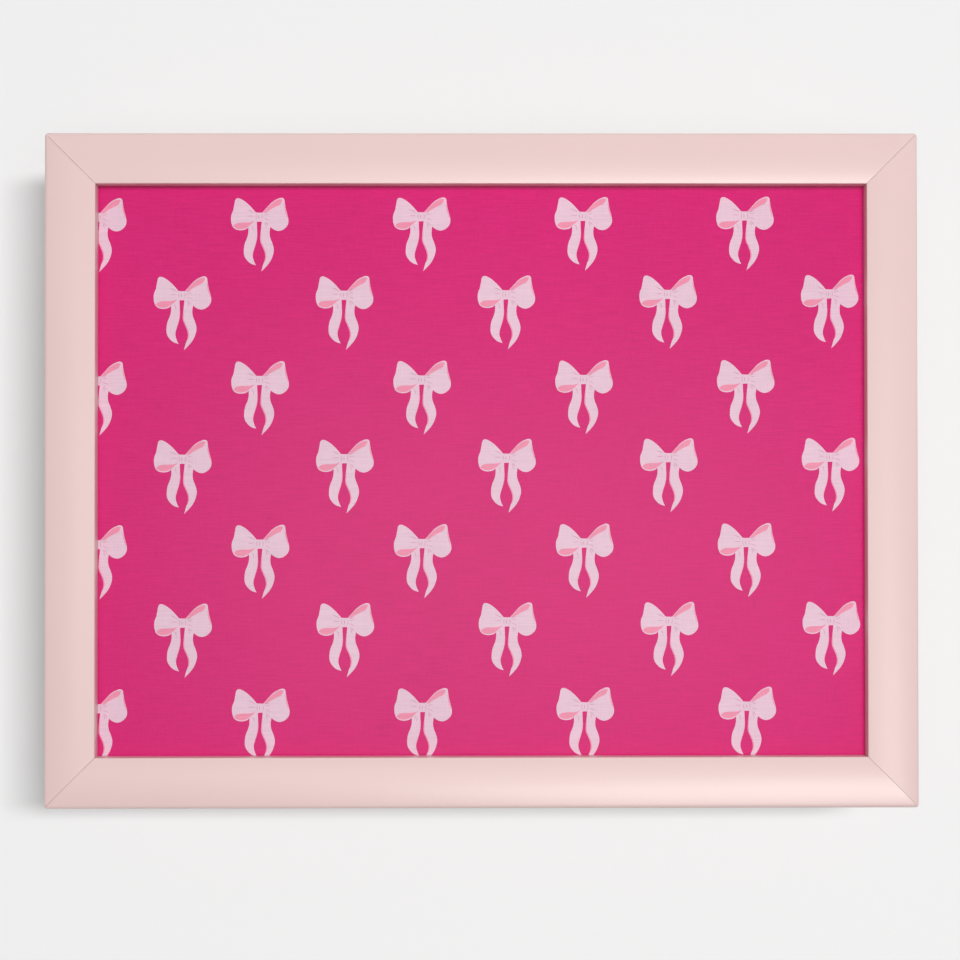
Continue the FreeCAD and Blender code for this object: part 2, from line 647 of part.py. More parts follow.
def comb(side, shift):
    """A row of teeth on its spine, standing on the tape's edge above (side 1) or below the zip's middle."""
    back = place.tape_mid - size.tooth_thickness / 2
    tooth = size.tooth_pitch / 2 - size.tooth_gap
    count = int(2 * place.zip_half / size.tooth_pitch)
    start = -count * size.tooth_pitch / 2

    def spot(x, height):
        return FreeCAD.Vector(x, back, place.zip_level + side * height)

    outline = [spot(start, size.tape_edge), spot(start, size.tooth_root)]
    for number in range(count):
        left = start + number * size.tooth_pitch + shift + size.tooth_gap / 2
        outline += [spot(left, size.tooth_root), spot(left, -size.tooth_reach)]
        outline += [spot(left + tooth, -size.tooth_reach), spot(left + tooth, size.tooth_root)]
    end = start + count * size.tooth_pitch
    outline += [spot(end, size.tooth_root), spot(end, size.tape_edge)]
    face = Part.Face(Part.makePolygon(outline + outline[:1]))
    return face.extrude(FreeCAD.Vector(0, size.tooth_thickness, 0))


def make_teeth():
    feature("zip_teeth_upper", comb(1, 0))
    feature("zip_teeth_lower", comb(-1, size.tooth_pitch / 2))


def make_stops():
    """Clips on the tapes that end the slider's travel."""
    slot_half = "Sizes.tape_thickness / 2 + Sizes.driven_clearance"
    clip_half = "Sizes.tape_thickness / 2 + Sizes.stop_wall"
    slot_y = (f"Places.tape_mid - ({slot_half})", f"Places.tape_mid + {slot_half}")
    clip_y = (f"Places.tape_mid - ({clip_half})", f"Places.tape_mid + {clip_half}")
    slot_edge = "Sizes.tape_edge - Sizes.driven_clearance"
    slot_end = "Sizes.tape_edge + Sizes.stop_reach + Sizes.cut_overrun"
    clip_end = "Sizes.tape_edge + Sizes.stop_reach"
    closed = ("Places.slider_right + Sizes.slider_clearance",
              "Places.slider_right + Sizes.slider_clearance + Sizes.stop_length")
    opened = ("-Places.zip_half - Sizes.slider_clearance - Sizes.stop_length",
              "-Places.zip_half - Sizes.slider_clearance")

    def slot(along, side):
        through = (f"{along[0]} - Sizes.cut_overrun", f"{along[1]} + Sizes.cut_overrun")
        return box("stop_slot", through, slot_y, beside(side, "Places.zip_level", slot_edge, slot_end))

    clips = []
    for side in (-1, 1):
        level = beside(side, "Places.zip_level", "Sizes.tooth_root", clip_end)
        clips.append(cut("stop", box("stop_block", closed, clip_y, level), slot(closed, side)))
    keep(group("closed_stops", clips), "zip_stops_closed_end")
    across = (f"Places.zip_level - ({clip_end})", f"Places.zip_level + {clip_end}")
    bridge = box("stop_block", opened, clip_y, across)
    tape_slots = fuse("stop_slots", slot(opened, -1), slot(opened, 1))
    keep(cut("stop", bridge, tape_slots), "zip_stop_open_end")


def make_slider():
    """Two flanged plates joined by a post, with a pin between two lugs for the pull."""
    along = ("Places.slider_left", "Places.slider_right")
    half = "Sizes.slider_width / 2"
    level = (f"Places.zip_level - {half}", f"Places.zip_level + {half}")
    middle = "Places.tape_mid"
    blocks = []
    for side in (-1, 1):
        plate_y = beside(side, middle, "Places.channel_half", "Places.slider_half")
        flange_y = beside(side, middle, "Places.slot_half", "Places.slider_half")
        blocks.append(box("plate", along, plate_y, level))
        blocks.append(box("flange", along, flange_y, (level[0], f"{level[0]} + Sizes.slider_flange")))
        blocks.append(box("flange", along, flange_y, (f"{level[1]} - Sizes.slider_flange", level[1])))
    post_z = ("Places.zip_level - Sizes.slider_post / 2", "Places.zip_level + Sizes.slider_post / 2")
    post_x = ("Places.slider_right - Sizes.slider_post", "Places.slider_right")
    post_y = (f"{middle} - Places.slider_half", f"{middle} + Places.slider_half")
    blocks.append(box("post", post_x, post_y, post_z))
    lug_x = ("Places.pin_x - Places.lug_half", "Places.pin_x + Places.lug_half")
    lug_y = ("Places.slider_face - Sizes.slider_plate", "Places.pin_y + Places.lug_half")
    for side in (-1, 1):
        lug_z = beside(side, "Places.zip_level", "Places.lug_inside", "Places.lug_outside")
        blocks.append(box("lug", lug_x, lug_y, lug_z))
    foot = ("Places.pin_x", "Places.pin_y", "Places.zip_level - Places.lug_outside")
    blocks.append(cylinder("pin", "Sizes.pin_radius", "2 * Places.lug_outside", foot))
    keep(fuse("slider", *blocks), "zip_slider")


def make_pull():
    """Flat tab that swings on the slider's pin, lying back along the closed zip."""
    level = both_ways("Sizes.knuckle_length / 2")
    narrow = (f"Places.zip_level + {level[0]}", f"Places.zip_level + {level[1]}")
    wide = ("Places.zip_level - Sizes.pull_width / 2", "Places.zip_level + Sizes.pull_width / 2")
    through = ("Places.pin_y - Sizes.pull_thickness / 2", "Places.pin_y + Sizes.pull_thickness / 2")
    tip_x = "Places.pin_x - Sizes.pull_length + Sizes.pull_width / 2"
    knuckle_foot = ("Places.pin_x", "Places.pin_y", narrow[0])
    sideways = FreeCAD.Rotation(X_WAY, -90)
    tip_foot = (tip_x, through[0], "Places.zip_level")
    solid = fuse(
        "pull",
        cylinder("knuckle", "Places.knuckle_radius", "Sizes.knuckle_length", knuckle_foot),
        box("neck", ("Places.pin_x - Sizes.pull_neck", "Places.pin_x"), through, narrow),
        box("tab", (tip_x, "Places.pin_x - Sizes.pull_neck"), through, wide),
        cylinder("tip", "Sizes.pull_width / 2", "Sizes.pull_thickness", tip_foot, sideways),
    )
    bore = cylinder("bore", "Sizes.pin_radius + Sizes.pin_clearance", "Sizes.knuckle_length", knuckle_foot)
    hole = cylinder("hole", "Sizes.pull_hole", "Sizes.pull_thickness", tip_foot, sideways)
    keep(cut("drilled_pull", solid, fuse("pull_holes", bore, hole)), "zip_pull")


# Build, check and write

def check():
    """Stops before anything is written if an object failed or a sub-part isn't a valid solid."""
    failed = [thing.Label for thing in doc.Objects if {"Invalid", "Error"} & set(thing.State)]
    unfit = [
        thing.Label for thing in pieces
        if thing.Shape.isNull() or not thing.Shape.isValid() or not thing.Shape.Solids
    ]
    if failed or unfit:
        raise RuntimeError(f"failed objects {failed}, sub-parts that aren't valid solids {unfit}")


make_frame()
make_vnails()
make_points()
make_board()
make_strips()
make_cover()
make_filling()
make_tapes()
make_teeth()
make_stops()
make_slider()
make_pull()
doc.recompute()
check()
os.makedirs("parts", exist_ok=True)
for thing in pieces:
    thing.Shape.exportStep(f"parts/{thing.Label}.step")
    print(thing.Label, len(thing.Shape.Solids), "solids", round(thing.Shape.Volume, 1), "mm3")
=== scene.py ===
import json
import math

import bmesh
import bpy
from mathutils import Euler, Matrix, Vector, noise

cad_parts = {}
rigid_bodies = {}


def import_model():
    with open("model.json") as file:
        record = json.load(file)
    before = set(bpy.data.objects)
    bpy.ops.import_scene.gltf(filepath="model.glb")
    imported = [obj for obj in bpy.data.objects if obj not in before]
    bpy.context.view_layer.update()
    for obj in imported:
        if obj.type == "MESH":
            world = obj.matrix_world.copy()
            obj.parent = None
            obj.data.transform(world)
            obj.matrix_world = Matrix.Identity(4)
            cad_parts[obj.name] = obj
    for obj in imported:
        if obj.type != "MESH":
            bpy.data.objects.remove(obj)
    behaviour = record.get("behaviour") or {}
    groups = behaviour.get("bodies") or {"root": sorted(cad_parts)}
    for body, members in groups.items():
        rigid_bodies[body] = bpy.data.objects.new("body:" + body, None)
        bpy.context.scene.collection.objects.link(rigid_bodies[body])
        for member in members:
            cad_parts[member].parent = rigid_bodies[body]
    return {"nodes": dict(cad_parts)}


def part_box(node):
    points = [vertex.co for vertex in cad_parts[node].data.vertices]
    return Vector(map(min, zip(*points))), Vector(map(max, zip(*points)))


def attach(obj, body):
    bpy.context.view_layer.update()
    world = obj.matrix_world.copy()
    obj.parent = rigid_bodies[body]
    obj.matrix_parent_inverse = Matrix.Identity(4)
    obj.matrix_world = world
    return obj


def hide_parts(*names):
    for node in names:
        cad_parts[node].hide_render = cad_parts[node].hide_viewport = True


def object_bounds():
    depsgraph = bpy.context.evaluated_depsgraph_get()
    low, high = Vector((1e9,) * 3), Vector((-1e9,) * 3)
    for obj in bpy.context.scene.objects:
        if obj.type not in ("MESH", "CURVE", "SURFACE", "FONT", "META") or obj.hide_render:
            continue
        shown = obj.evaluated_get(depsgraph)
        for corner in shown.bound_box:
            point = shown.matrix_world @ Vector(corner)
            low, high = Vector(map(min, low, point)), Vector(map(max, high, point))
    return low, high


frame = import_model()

bl_info = {
    "name": "Lap tray with cushion",
    "version": (1, 0, 0),
    "blender": (4, 5, 0),
    "location": "View3D > Sidebar > Lap tray",
    "description": "Dresses the lap tray: painted frame, bow print, bead cushion, zip and stage",
    "category": "Object",
}

CAD_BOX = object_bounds()
MM = 0.001
SIDES = ("front", "back", "left", "right")


# Settings

def tone(red, green, blue):
    """Linear colour of an 8-bit screen colour."""
    def linear(level):
        share = level / 255
        return share / 12.92 if share <= 0.04045 else ((share + 0.055) / 1.055) ** 2.4
    return linear(red), linear(green), linear(blue)


def colour(name, description, screen):
    """A colour, given as it looks on a screen."""
    return bpy.props.FloatVectorProperty(
        name=name, description=description, subtype="COLOR", size=3, min=0, max=1,
        default=tone(*screen))


def length(name, description, millimetres):
    """A length, given in millimetres."""
    return bpy.props.FloatProperty(
        name=name, description=description, default=millimetres * MM, precision=5, unit="LENGTH",
        subtype="DISTANCE")


def angle(name, description, degrees):
    """An angle, given in degrees."""
    return bpy.props.FloatProperty(
        name=name, description=description, default=math.radians(degrees), unit="ROTATION",
        subtype="ANGLE")


def amount(name, description, value, high=1.0):
    """A share or strength from zero up."""
    return bpy.props.FloatProperty(
        name=name, description=description, default=value, min=0, max=high, subtype="FACTOR")


def power(name, description, watts):
    """A lamp's power."""
    return bpy.props.FloatProperty(
        name=name, description=description, default=watts, min=0, unit="POWER")


def count(name, description, value):
    """A whole number from one up."""
    return bpy.props.IntProperty(name=name, description=description, default=value, min=1)


class FrameSettings(bpy.types.PropertyGroup):
    """Moulding of the tray's frame."""
    crown_radius: length("Crown radius", "Radius of the moulding's crowned top", 46)
    crest_inset: length("Crest inset", "Outer face to the crest", 12)
    edge_round: length("Edge round", "Rounding between the top and the outer face", 2)
    corner_round: length("Corner round", "Rounding of the frame's corners in plan", 2.5)
    lip_depth: length("Lip depth", "Reach of the lip over the board", 8.5)
    lip_wall: length("Lip wall", "Height of the lip's inner wall", 7.6)
    lip_round: length("Lip round", "Softened edge of the lip", 0.35)
    mitre_gap: length("Mitre gap", "Line left open between two rails", 0.12)
    foot_relief: length("Foot relief", "How far nails stand proud of the rails' underside", 0.05)
    paint: colour("Paint", "Blush paint of the frame", (229, 200, 197))
    paint_roughness: amount("Paint roughness", "Satin finish of the paint", 0.32)


class PrintSettings(bpy.types.PropertyGroup):
    """Printed sheet with its bows."""
    ground: colour("Ground", "Magenta ground of the print", (206, 6, 108))
    ribbon: colour("Ribbon", "Pale pink of the bows", (225, 190, 206))
    rim: colour("Rim", "Brighter edge of the bows", (252, 186, 216))
    fold: colour("Fold", "Inside of the loops", (232, 139, 166))
    crease: colour("Crease", "Lines gathered at the knot", (200, 142, 168))
    column_step: length("Column step", "Bow to bow along a row", 82.27)
    row_step: length("Row step", "Bow to bow along a column", 83.08)
    drop_x: length("Drop across", "Sideways place of the bows between two rows", 42.95)
    drop_y: length("Drop down", "How far bows between two rows hang below the upper one", 39.87)
    first_x: length("First column", "Place of one bow, from the middle of the sheet", -30.04)
    first_y: length("First row", "Place of one bow, from the middle of the sheet", 120.15)
    tilt: angle("Tilt", "Turn of the print on the board", 0.15)
    bow_reach: length("Bow reach", "A bow's middle may lie this far outside the window", 17)
    rim_width: length("Rim width", "Width of the brighter edge", 0.65)
    ink: length("Ink", "Thickness of the ink above the sheet", 0.02)
    film_roughness: amount("Film roughness", "Sealed surface of the print", 0.33)


class CushionSettings(bpy.types.PropertyGroup):
    """Stuffed cushion and its cover."""
    fabric: colour("Fabric", "Blush cloth of the cover", (226, 193, 190))
    thread: colour("Thread", "Sewing thread", (236, 209, 206))
    slack: length("Slack", "How much smaller the unfilled cover is than its space", 3.5)
    corner: length("Corner", "Rounding of the unfilled cover's corners in plan", 34)
    rim: length("Rim", "Rounding of the unfilled cover's top and base edges", 11)
    voxel: length("Cloth grid", "Grid of the cloth that is filled", 5)
    swell: length("Swell", "Most that filling may move the cloth", 9)
    pressure: bpy.props.FloatProperty(
        name="Pressure", description="Pressure of the beads", default=4.0, min=0)
    pucker: length("Pucker", "Depth of the gathers along the seams", 0.9)
    seam_depth: length("Seam depth", "Depth of the seam lines", 1.4)
    seam_width: length("Seam width", "Half width of the seam lines", 1.3)
    stitch_step: length("Stitch step", "Stitch to stitch", 3.4)
    stitch_length: length("Stitch length", "One stitch", 2.6)
    thread_radius: length("Thread radius", "Sewing thread", 0.22)
    stitch_inset: length("Stitch inset", "Zip's mouth to the stitches beside it", 2)
    threads: count("Threads", "Threads in a metre of cloth", 1300)


class FittingSettings(bpy.types.PropertyGroup):
    """Zip, strips and the underside."""
    zip_tape: colour("Zip tape", "Woven tape", (216, 180, 178))
    zip_teeth: colour("Zip teeth", "Moulded teeth", (224, 190, 188))
    zip_metal: colour("Zip metal", "Enamelled slider, pull and stops", (220, 186, 184))
    hooks: colour("Hooks", "Hook strips", (232, 216, 214))
    loops: colour("Loops", "Loop strips", (234, 210, 208))
    web: length("Web", "Thickness of a strip's woven web", 0.6)
    selvedge: length("Selvedge", "Plain edge of a strip beside its hooks or loops", 1.8)
    strip_round: length("Strip round", "Softened edges of a strip", 0.12)
    hook_pitch: length("Hook pitch", "Hook to hook", 1.6)
    hook_stem: length("Hook stem", "Radius of a hook's stem", 0.18)
    hook_head: length("Hook head", "Radius of a hook's head", 0.45)
    paper: colour("Paper", "Backing paper", (226, 220, 210))
    board: colour("Board", "Fibreboard", (150, 116, 84))
    steel: colour("Steel", "Nails and points", (188, 188, 190))


class StageSettings(bpy.types.PropertyGroup):
    """Camera, lamps and floor."""
    backdrop: colour("Backdrop", "Floor and background", (240, 240, 240))
    floor_glow: amount("Floor glow", "Share of its own colour that the floor shows unlit", 0.3)
    lens: bpy.props.FloatProperty(
        name="Lens", description="Focal length in millimetres", default=61.925, min=1)
    camera_place: bpy.props.FloatVectorProperty(
        name="Camera place", description="Where the camera stands", subtype="TRANSLATION",
        unit="LENGTH", default=(-0.0052, -0.0128, 0.899))
    camera_turn: bpy.props.FloatVectorProperty(
        name="Camera turn", description="How the camera leans from straight down", subtype="EULER",
        unit="ROTATION", default=tuple(math.radians(turn) for turn in (0.5381, -0.3008, -0.0409)))
    sky: amount("Sky", "Light from all round", 0.27, high=5.0)
    key_power: power("Key power", "Main lamp over the tray", 31.9)
    cast_power: power("Cast power", "Lamp that lays the tray's shadow on the floor", 2400)
    overhead_power: power("Overhead power", "Lamp whose sheen lies on the print", 2.3)
    front_power: power("Front power", "Lamp whose sheen lies on the front and back rails", 11.6)
    side_power: power("Side power", "Lamp whose sheen lies on the right rail", 4.8)
    lip_power: power("Lip power", "Lamp whose sheen lies on the back rail's lip", 1.8)


class LapTraySettings(bpy.types.PropertyGroup):
    """All settings of the lap tray."""
    frame: bpy.props.PointerProperty(type=FrameSettings)
    print: bpy.props.PointerProperty(type=PrintSettings)
    cushion: bpy.props.PointerProperty(type=CushionSettings)
    fittings: bpy.props.PointerProperty(type=FittingSettings)
    stage: bpy.props.PointerProperty(type=StageSettings)


# Nodes and materials

class Nodes:
    """Adds nodes to one tree, with their inputs set or wired."""

    def __init__(self, tree):
        self.tree = tree

    def add(self, kind, inputs=None, **settings):
        node = self.tree.nodes.new("ShaderNode" + kind)
        for name, value in settings.items():
            setattr(node, name, value)
        self.feed(node, inputs or {})
        return node

    def feed(self, node, inputs):
        for name, value in inputs.items():
            socket = node.inputs[name]
            if isinstance(value, bpy.types.NodeSocket):
                self.tree.links.new(value, socket)
            else:
                socket.default_value = value

    def math(self, operation, first, second=0.0, third=0.0):
        inputs = {0: first, 1: second, 2: third}
        return self.add("Math", inputs, operation=operation).outputs[0]

    def weighted(self, first, first_share, second, second_share):
        """Two values added, each times its share."""
        parts = [
            self.math("MULTIPLY", first, first_share), self.math("MULTIPLY", second, second_share)]
        return self.math("ADD", *parts)

    def scaled(self, vector, scale):
        """Vector multiplied along each axis."""
        inputs = {0: vector, 1: scale}
        return self.add("VectorMath", inputs, operation="MULTIPLY").outputs[0]

    def noise(self, vector, scale, detail, roughness=0.5):
        inputs = {"Vector": vector, "Scale": scale, "Detail": detail, "Roughness": roughness}
        return self.add("TexNoise", inputs).outputs["Fac"]

    def streaks(self, vector, scale, detail):
        """Noise drawn out into threads or brush marks."""
        return self.noise(self.scaled(vector, scale), 1.0, detail)

    def span(self, value, low, high, start=0.0, end=1.0):
        """Value moved from the range start to end into the range low to high."""
        inputs = {
            "Value": value, "From Min": start, "From Max": end, "To Min": low, "To Max": high}
        return self.add("MapRange", inputs).outputs["Result"]

    def mix(self, factor, first, second, blend="MIX"):
        inputs = {0: factor, 6: first, 7: second}
        return self.add("Mix", inputs, data_type="RGBA", blend_type=blend).outputs[2]

    def bump(self, height, distance, strength, normal=None):
        inputs = {"Height": height, "Distance": distance, "Strength": strength}
        if normal:
            inputs["Normal"] = normal
        return self.add("Bump", inputs).outputs["Normal"]


def group(name, inputs, outputs, wire):
    """A shader node group, built once; wire gets nodes and inputs and returns the outputs."""
    tree = bpy.data.node_groups.get(name)
    if tree:
        return tree
    tree = bpy.data.node_groups.new(name, "ShaderNodeTree")
    for sockets, direction in ((inputs, "INPUT"), (outputs, "OUTPUT")):
        for socket, kind in sockets.items():
            tree.interface.new_socket(
                name=socket, in_out=direction, socket_type="NodeSocket" + kind)
    source = tree.nodes.new("NodeGroupInput").outputs
    target = tree.nodes.new("NodeGroupOutput")
    for socket, value in wire(Nodes(tree), source).items():
        tree.links.new(value, target.inputs[socket])
    return tree


def mottle_group():
    """Slow and fine unevenness of a finish, as a value round zero."""
    finer = 23.0

    def wire(nodes, source):
        slow = nodes.noise(source["Vector"], source["Scale"], detail=3.0)
        fine_scale = nodes.math("MULTIPLY", source["Scale"], finer)
        fine = nodes.noise(source["Vector"], fine_scale, detail=2.0)
        return {"Value": nodes.math("SUBTRACT", nodes.weighted(slow, 0.7, fine, 0.3), 0.5)}

    return group("Mottle", {"Vector": "Vector", "Scale": "Float"}, {"Value": "Float"}, wire)


def weave_group():
    """Plain weave: thread height, and a tone of painted shade, darker between the threads than on
    their crests, with the slubs' own unevenness.
    """
    slub_along, slub_across = (40.0, 1400.0, 1.0), (1400.0, 40.0, 1.0)
    thread_shade = 0.35

    def wire(nodes, source):
        turns = nodes.math("MULTIPLY", source["Threads"], math.pi)
        axes = nodes.add("SeparateXYZ", {"Vector": source["Vector"]}).outputs
        wave = {
            name: nodes.math("SINE", nodes.math("MULTIPLY", axes[name], turns)) for name in "XY"}
        over = nodes.math("MULTIPLY", wave["X"], wave["Y"])
        warp = nodes.math("ABSOLUTE", wave["X"])
        weft = nodes.math("ABSOLUTE", wave["Y"])
        lifted = nodes.math("MULTIPLY", nodes.span(over, 0.0, 1.0, start=-1.0), warp)
        lowered = nodes.math("MULTIPLY", nodes.span(over, 1.0, 0.0, start=-1.0), weft)
        height = nodes.math("ADD", lifted, lowered)
        along = nodes.streaks(source["Vector"], slub_along, detail=2.0)
        across = nodes.streaks(source["Vector"], slub_across, detail=2.0)
        slubs = nodes.math("SUBTRACT", nodes.math("ADD", along, across), 1.0)
        # Painted shade: darker where the threads dip and lighter on their crests; the slubs add the
        # yarn's own tone
        shade = nodes.math("ADD", nodes.math("MULTIPLY", height, thread_shade), slubs)
        return {"Height": height, "Shade": shade}

    inputs = {"Vector": "Vector", "Threads": "Float"}
    return group("Weave", inputs, {"Height": "Float", "Shade": "Float"}, wire)


class Finish:
    """One material: its Principled shader, its nodes and its coordinates."""

    def __init__(self, name, roughness, metallic=0.0, specular=0.5, sheen=0.0):
        self.material = bpy.data.materials.new(name)
        self.material.use_nodes = True
        self.nodes = Nodes(self.material.node_tree)
        self.shader = self.material.node_tree.nodes["Principled BSDF"]
        self.nodes.feed(self.shader, {
            "Roughness": roughness, "Metallic": metallic, "Specular IOR Level": specular,
            "Sheen Weight": sheen})
        coordinates = self.nodes.add("TexCoord").outputs
        self.place = coordinates["Object"]
        self.cloth = coordinates["UV"]

    def effect(self, tree, **inputs):
        node = self.nodes.add("Group", node_tree=tree)
        self.nodes.feed(node, inputs)
        return node.outputs

    def mottle(self, scale):
        return self.effect(mottle_group(), Vector=self.place, Scale=scale)["Value"]

    def tinted(self, base, value, reach=1.0):
        """Colour made lighter and darker by a value round zero."""
        share = self.nodes.math("MULTIPLY_ADD", value, reach, 1.0)
        grey = self.nodes.add("CombineColor", {0: share, 1: share, 2: share}).outputs[0]
        return self.nodes.mix(1.0, (*base, 1.0), grey, "MULTIPLY")

    def wear(self, base, roughness, normal):
        """The finished material, with what changes over the surface wired to its shader."""
        inputs = {"Base Color": base, "Roughness": roughness, "Normal": normal}
        self.nodes.feed(self.shader, inputs)
        return self.material


def paint_finish(settings):
    """Satin paint on wood: brush drag across the rail, orange peel and a slow change of tone."""
    brush_drag = (420.0, 14.0, 1.0)
    relief = 0.03 * MM
    spread = 0.03
    finish = Finish("blush paint", settings.paint_roughness)
    nodes = finish.nodes
    mottle = finish.mottle(scale=14.0)
    drag = nodes.streaks(finish.cloth, brush_drag, detail=2.0)
    peel = nodes.noise(finish.place, scale=900.0, detail=1.0)
    uneven = finish.tinted(settings.paint, mottle, reach=0.05)
    normal = nodes.bump(nodes.weighted(drag, 0.7, peel, 0.3), relief, strength=0.4)
    low = settings.paint_roughness - spread
    rough = nodes.span(mottle, low, low + 2 * spread, start=-0.25, end=0.25)
    return finish.wear(uneven, rough, normal)


def print_finish(name, base, settings):
    """Sealed print on a fine linen sheet: threads along the tray, and a slightly uneven film."""
    weft, warp = (70.0, 1500.0, 1.0), (1300.0, 110.0, 1.0)
    ripple_depth, thread_depth = 0.25 * MM, 0.03 * MM
    white_fleck_reach = 0.012
    spread = 0.04
    finish = Finish(name, settings.film_roughness, specular=0.38)
    nodes = finish.nodes
    mottle = finish.mottle(scale=9.0)
    along = nodes.streaks(finish.place, weft, detail=3.0)
    across = nodes.streaks(finish.place, warp, detail=2.0)
    threads = nodes.weighted(along, 0.7, across, 0.3)
    slow = nodes.math("MULTIPLY", mottle, 0.5)
    shade = nodes.math("ADD", nodes.math("SUBTRACT", threads, 0.5), slow)
    grain = nodes.noise(finish.place, scale=1000.0, detail=2.0, roughness=0.6)
    # Fine flecks mixed a little towards white, which lighten the print's colour in a fine grain
    fleck_grain = nodes.weighted(grain, 0.6, along, 0.4)
    white_flecks = nodes.span(fleck_grain, 0.0, white_fleck_reach, start=0.3, end=0.7)
    tint = nodes.mix(white_flecks, finish.tinted(base, shade, reach=0.4), (1.0, 1.0, 1.0, 1.0))
    ripple = nodes.noise(finish.place, scale=26.0, detail=1.0)
    film = nodes.bump(ripple, ripple_depth, strength=0.5)
    normal = nodes.bump(threads, thread_depth, strength=0.7, normal=film)
    low = settings.film_roughness - spread
    return finish.wear(tint, nodes.span(threads, low, low + 2 * spread), normal)


def cloth_finish(name, base, threads, depth, sheen=0.1):
    """Woven cloth whose threads follow the piece's own map, with painted shade between the threads.
    """
    finish = Finish(name, roughness=0.88, specular=0.25, sheen=sheen)
    nodes = finish.nodes
    weave = finish.effect(weave_group(), Vector=finish.cloth, Threads=float(threads))
    # The weave's painted shade between the threads, with the slubs' and the cloth's own mottled
    # tone
    shade = nodes.weighted(weave["Shade"], 0.16, finish.mottle(scale=18.0), 0.12)
    normal = nodes.bump(weave["Height"], depth, strength=0.7)
    rough = nodes.span(weave["Height"], low=0.95, high=0.8)
    return finish.wear(finish.tinted(base, shade), rough, normal)


def plain_finish(name, base, roughness, grain, reach, relief, metallic=0.0):
    """Slow colour changes and fine relief, for board, paper, steel and moulded pieces."""
    finer = 30.0
    finish = Finish(name, roughness, metallic)
    nodes = finish.nodes
    mottle = finish.mottle(grain)
    fine = nodes.noise(finish.place, grain * finer, detail=2.0)
    rough = nodes.span(fine, roughness * 0.85, min(1.0, roughness * 1.15))
    normal = nodes.bump(fine, relief * MM, strength=0.6)
    return finish.wear(finish.tinted(base, mottle, reach), rough, normal)


def pile_finish(name, base, scale, relief):
    """Loops of a strip: a field of small raised dots, with painted shade between them and painted
    light on their tops.
    """
    finish = Finish(name, roughness=0.7, specular=0.3, sheen=0.2)
    nodes = finish.nodes
    cells = nodes.add("TexVoronoi", {"Vector": finish.place, "Scale": scale})
    raised = nodes.span(cells.outputs["Distance"], low=1.0, high=0.0, end=0.7)
    slow = nodes.math("MULTIPLY", finish.mottle(scale=60.0), 0.2)
    # Painted shade between the loops and painted light on their tops, with a slow mottle of the
    # strip's own tone
    shade = nodes.math("ADD", nodes.math("MULTIPLY_ADD", raised, 0.3, -0.2), slow)
    normal = nodes.bump(raised, relief, strength=0.9)
    rough = nodes.span(raised, low=0.85, high=0.6)
    return finish.wear(finish.tinted(base, shade), rough, normal)


# Meshes and pieces

# Axes along which a flat map is laid
FROM_ABOVE, FROM_BEHIND = (0, 1), (0, 2)
# Points nearer than this to a cut are taken to lie on it
CUT_SNAP = 1e-7


def only(kind, items):
    """Those of the items that are of one kind."""
    return [item for item in items if isinstance(item, kind)]


def only_verts(items):
    """Those of the items that are vertices."""
    return only(bmesh.types.BMVert, items)


def everything(bm):
    """All vertices, edges and faces."""
    return bm.verts[:] + bm.edges[:] + bm.faces[:]


def block(bm, size, middle):
    """Adds a plain block and gives its vertices."""
    verts = bmesh.ops.create_cube(bm, size=1)["verts"]
    bmesh.ops.scale(bm, verts=verts, vec=size)
    bmesh.ops.translate(bm, verts=verts, vec=middle)
    return verts


def round_edges(bm, edges, radius, segments):
    """Rounds edges off."""
    bmesh.ops.bevel(
        bm, geom=edges, offset=radius, segments=segments, profile=0.5, affect="EDGES", material=-1)


def cut_away(bm, point, normal, fill=True):
    """Removes what lies on the normal's side of a plane and closes the cut."""
    cut = bmesh.ops.bisect_plane(
        bm, geom=everything(bm), dist=CUT_SNAP, plane_co=point, plane_no=normal, clear_outer=True)
    edges = only(bmesh.types.BMEdge, cut["geom_cut"])
    if fill and edges:
        bmesh.ops.edgeloop_fill(bm, edges=edges)


def close_holes(bm):
    """Closes what is still open after cutting or drawing."""
    bmesh.ops.holes_fill(bm, edges=[edge for edge in bm.edges if edge.is_boundary], sides=0)


def map_faces(bm, place):
    """Writes the piece's own map: place gives a face's corner its two map coordinates."""
    layer = bm.loops.layers.uv.new("cloth")
    for face in bm.faces:
        for loop in face.loops:
            loop[layer].uv = place(face, loop.vert.co)


def map_flat(bm, axes):
    """Lays the piece's map flat along two axes."""
    first, second = axes
    map_faces(bm, lambda face, point: (point[first], point[second]))


def add_object(name, bm):
    """A finished mesh as an object in the scene."""
    mesh = bpy.data.meshes.new(name)
    bm.to_mesh(mesh)
    bm.free()
    holder = bpy.data.objects.new(name, mesh)
    bpy.context.scene.collection.objects.link(holder)
    return holder


def dress(piece, materials, body, sharp=30.0):
    """Gives a piece its finishes and smooth shading, and has it ride on a body."""
    mesh = piece.data
    for material in materials:
        mesh.materials.append(material)
    mesh.polygons.foreach_set("use_smooth", [True] * len(mesh.polygons))
    mesh.set_sharp_from_angle(angle=math.radians(sharp))
    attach(piece, body)
    return piece


def add_piece(name, bm, materials, body):
    """A finished mesh as a piece that rides on a body."""
    return dress(add_object(name, bm), materials, body)


def repaint(nodes, material):
    """Gives kept solids their finish."""
    for node in nodes:
        mesh = frame["nodes"][node].data
        mesh.materials.clear()
        mesh.materials.append(material)


# Frame

CROWN_STEPS = 28
EDGE_STEPS = 6
LIP_STEPS = 3
CORNER_STEPS = 4
LIP_TOLERANCE = 1e-6
RAIL_TURNS = {"front": 0, "back": 180, "left": -90, "right": 90}


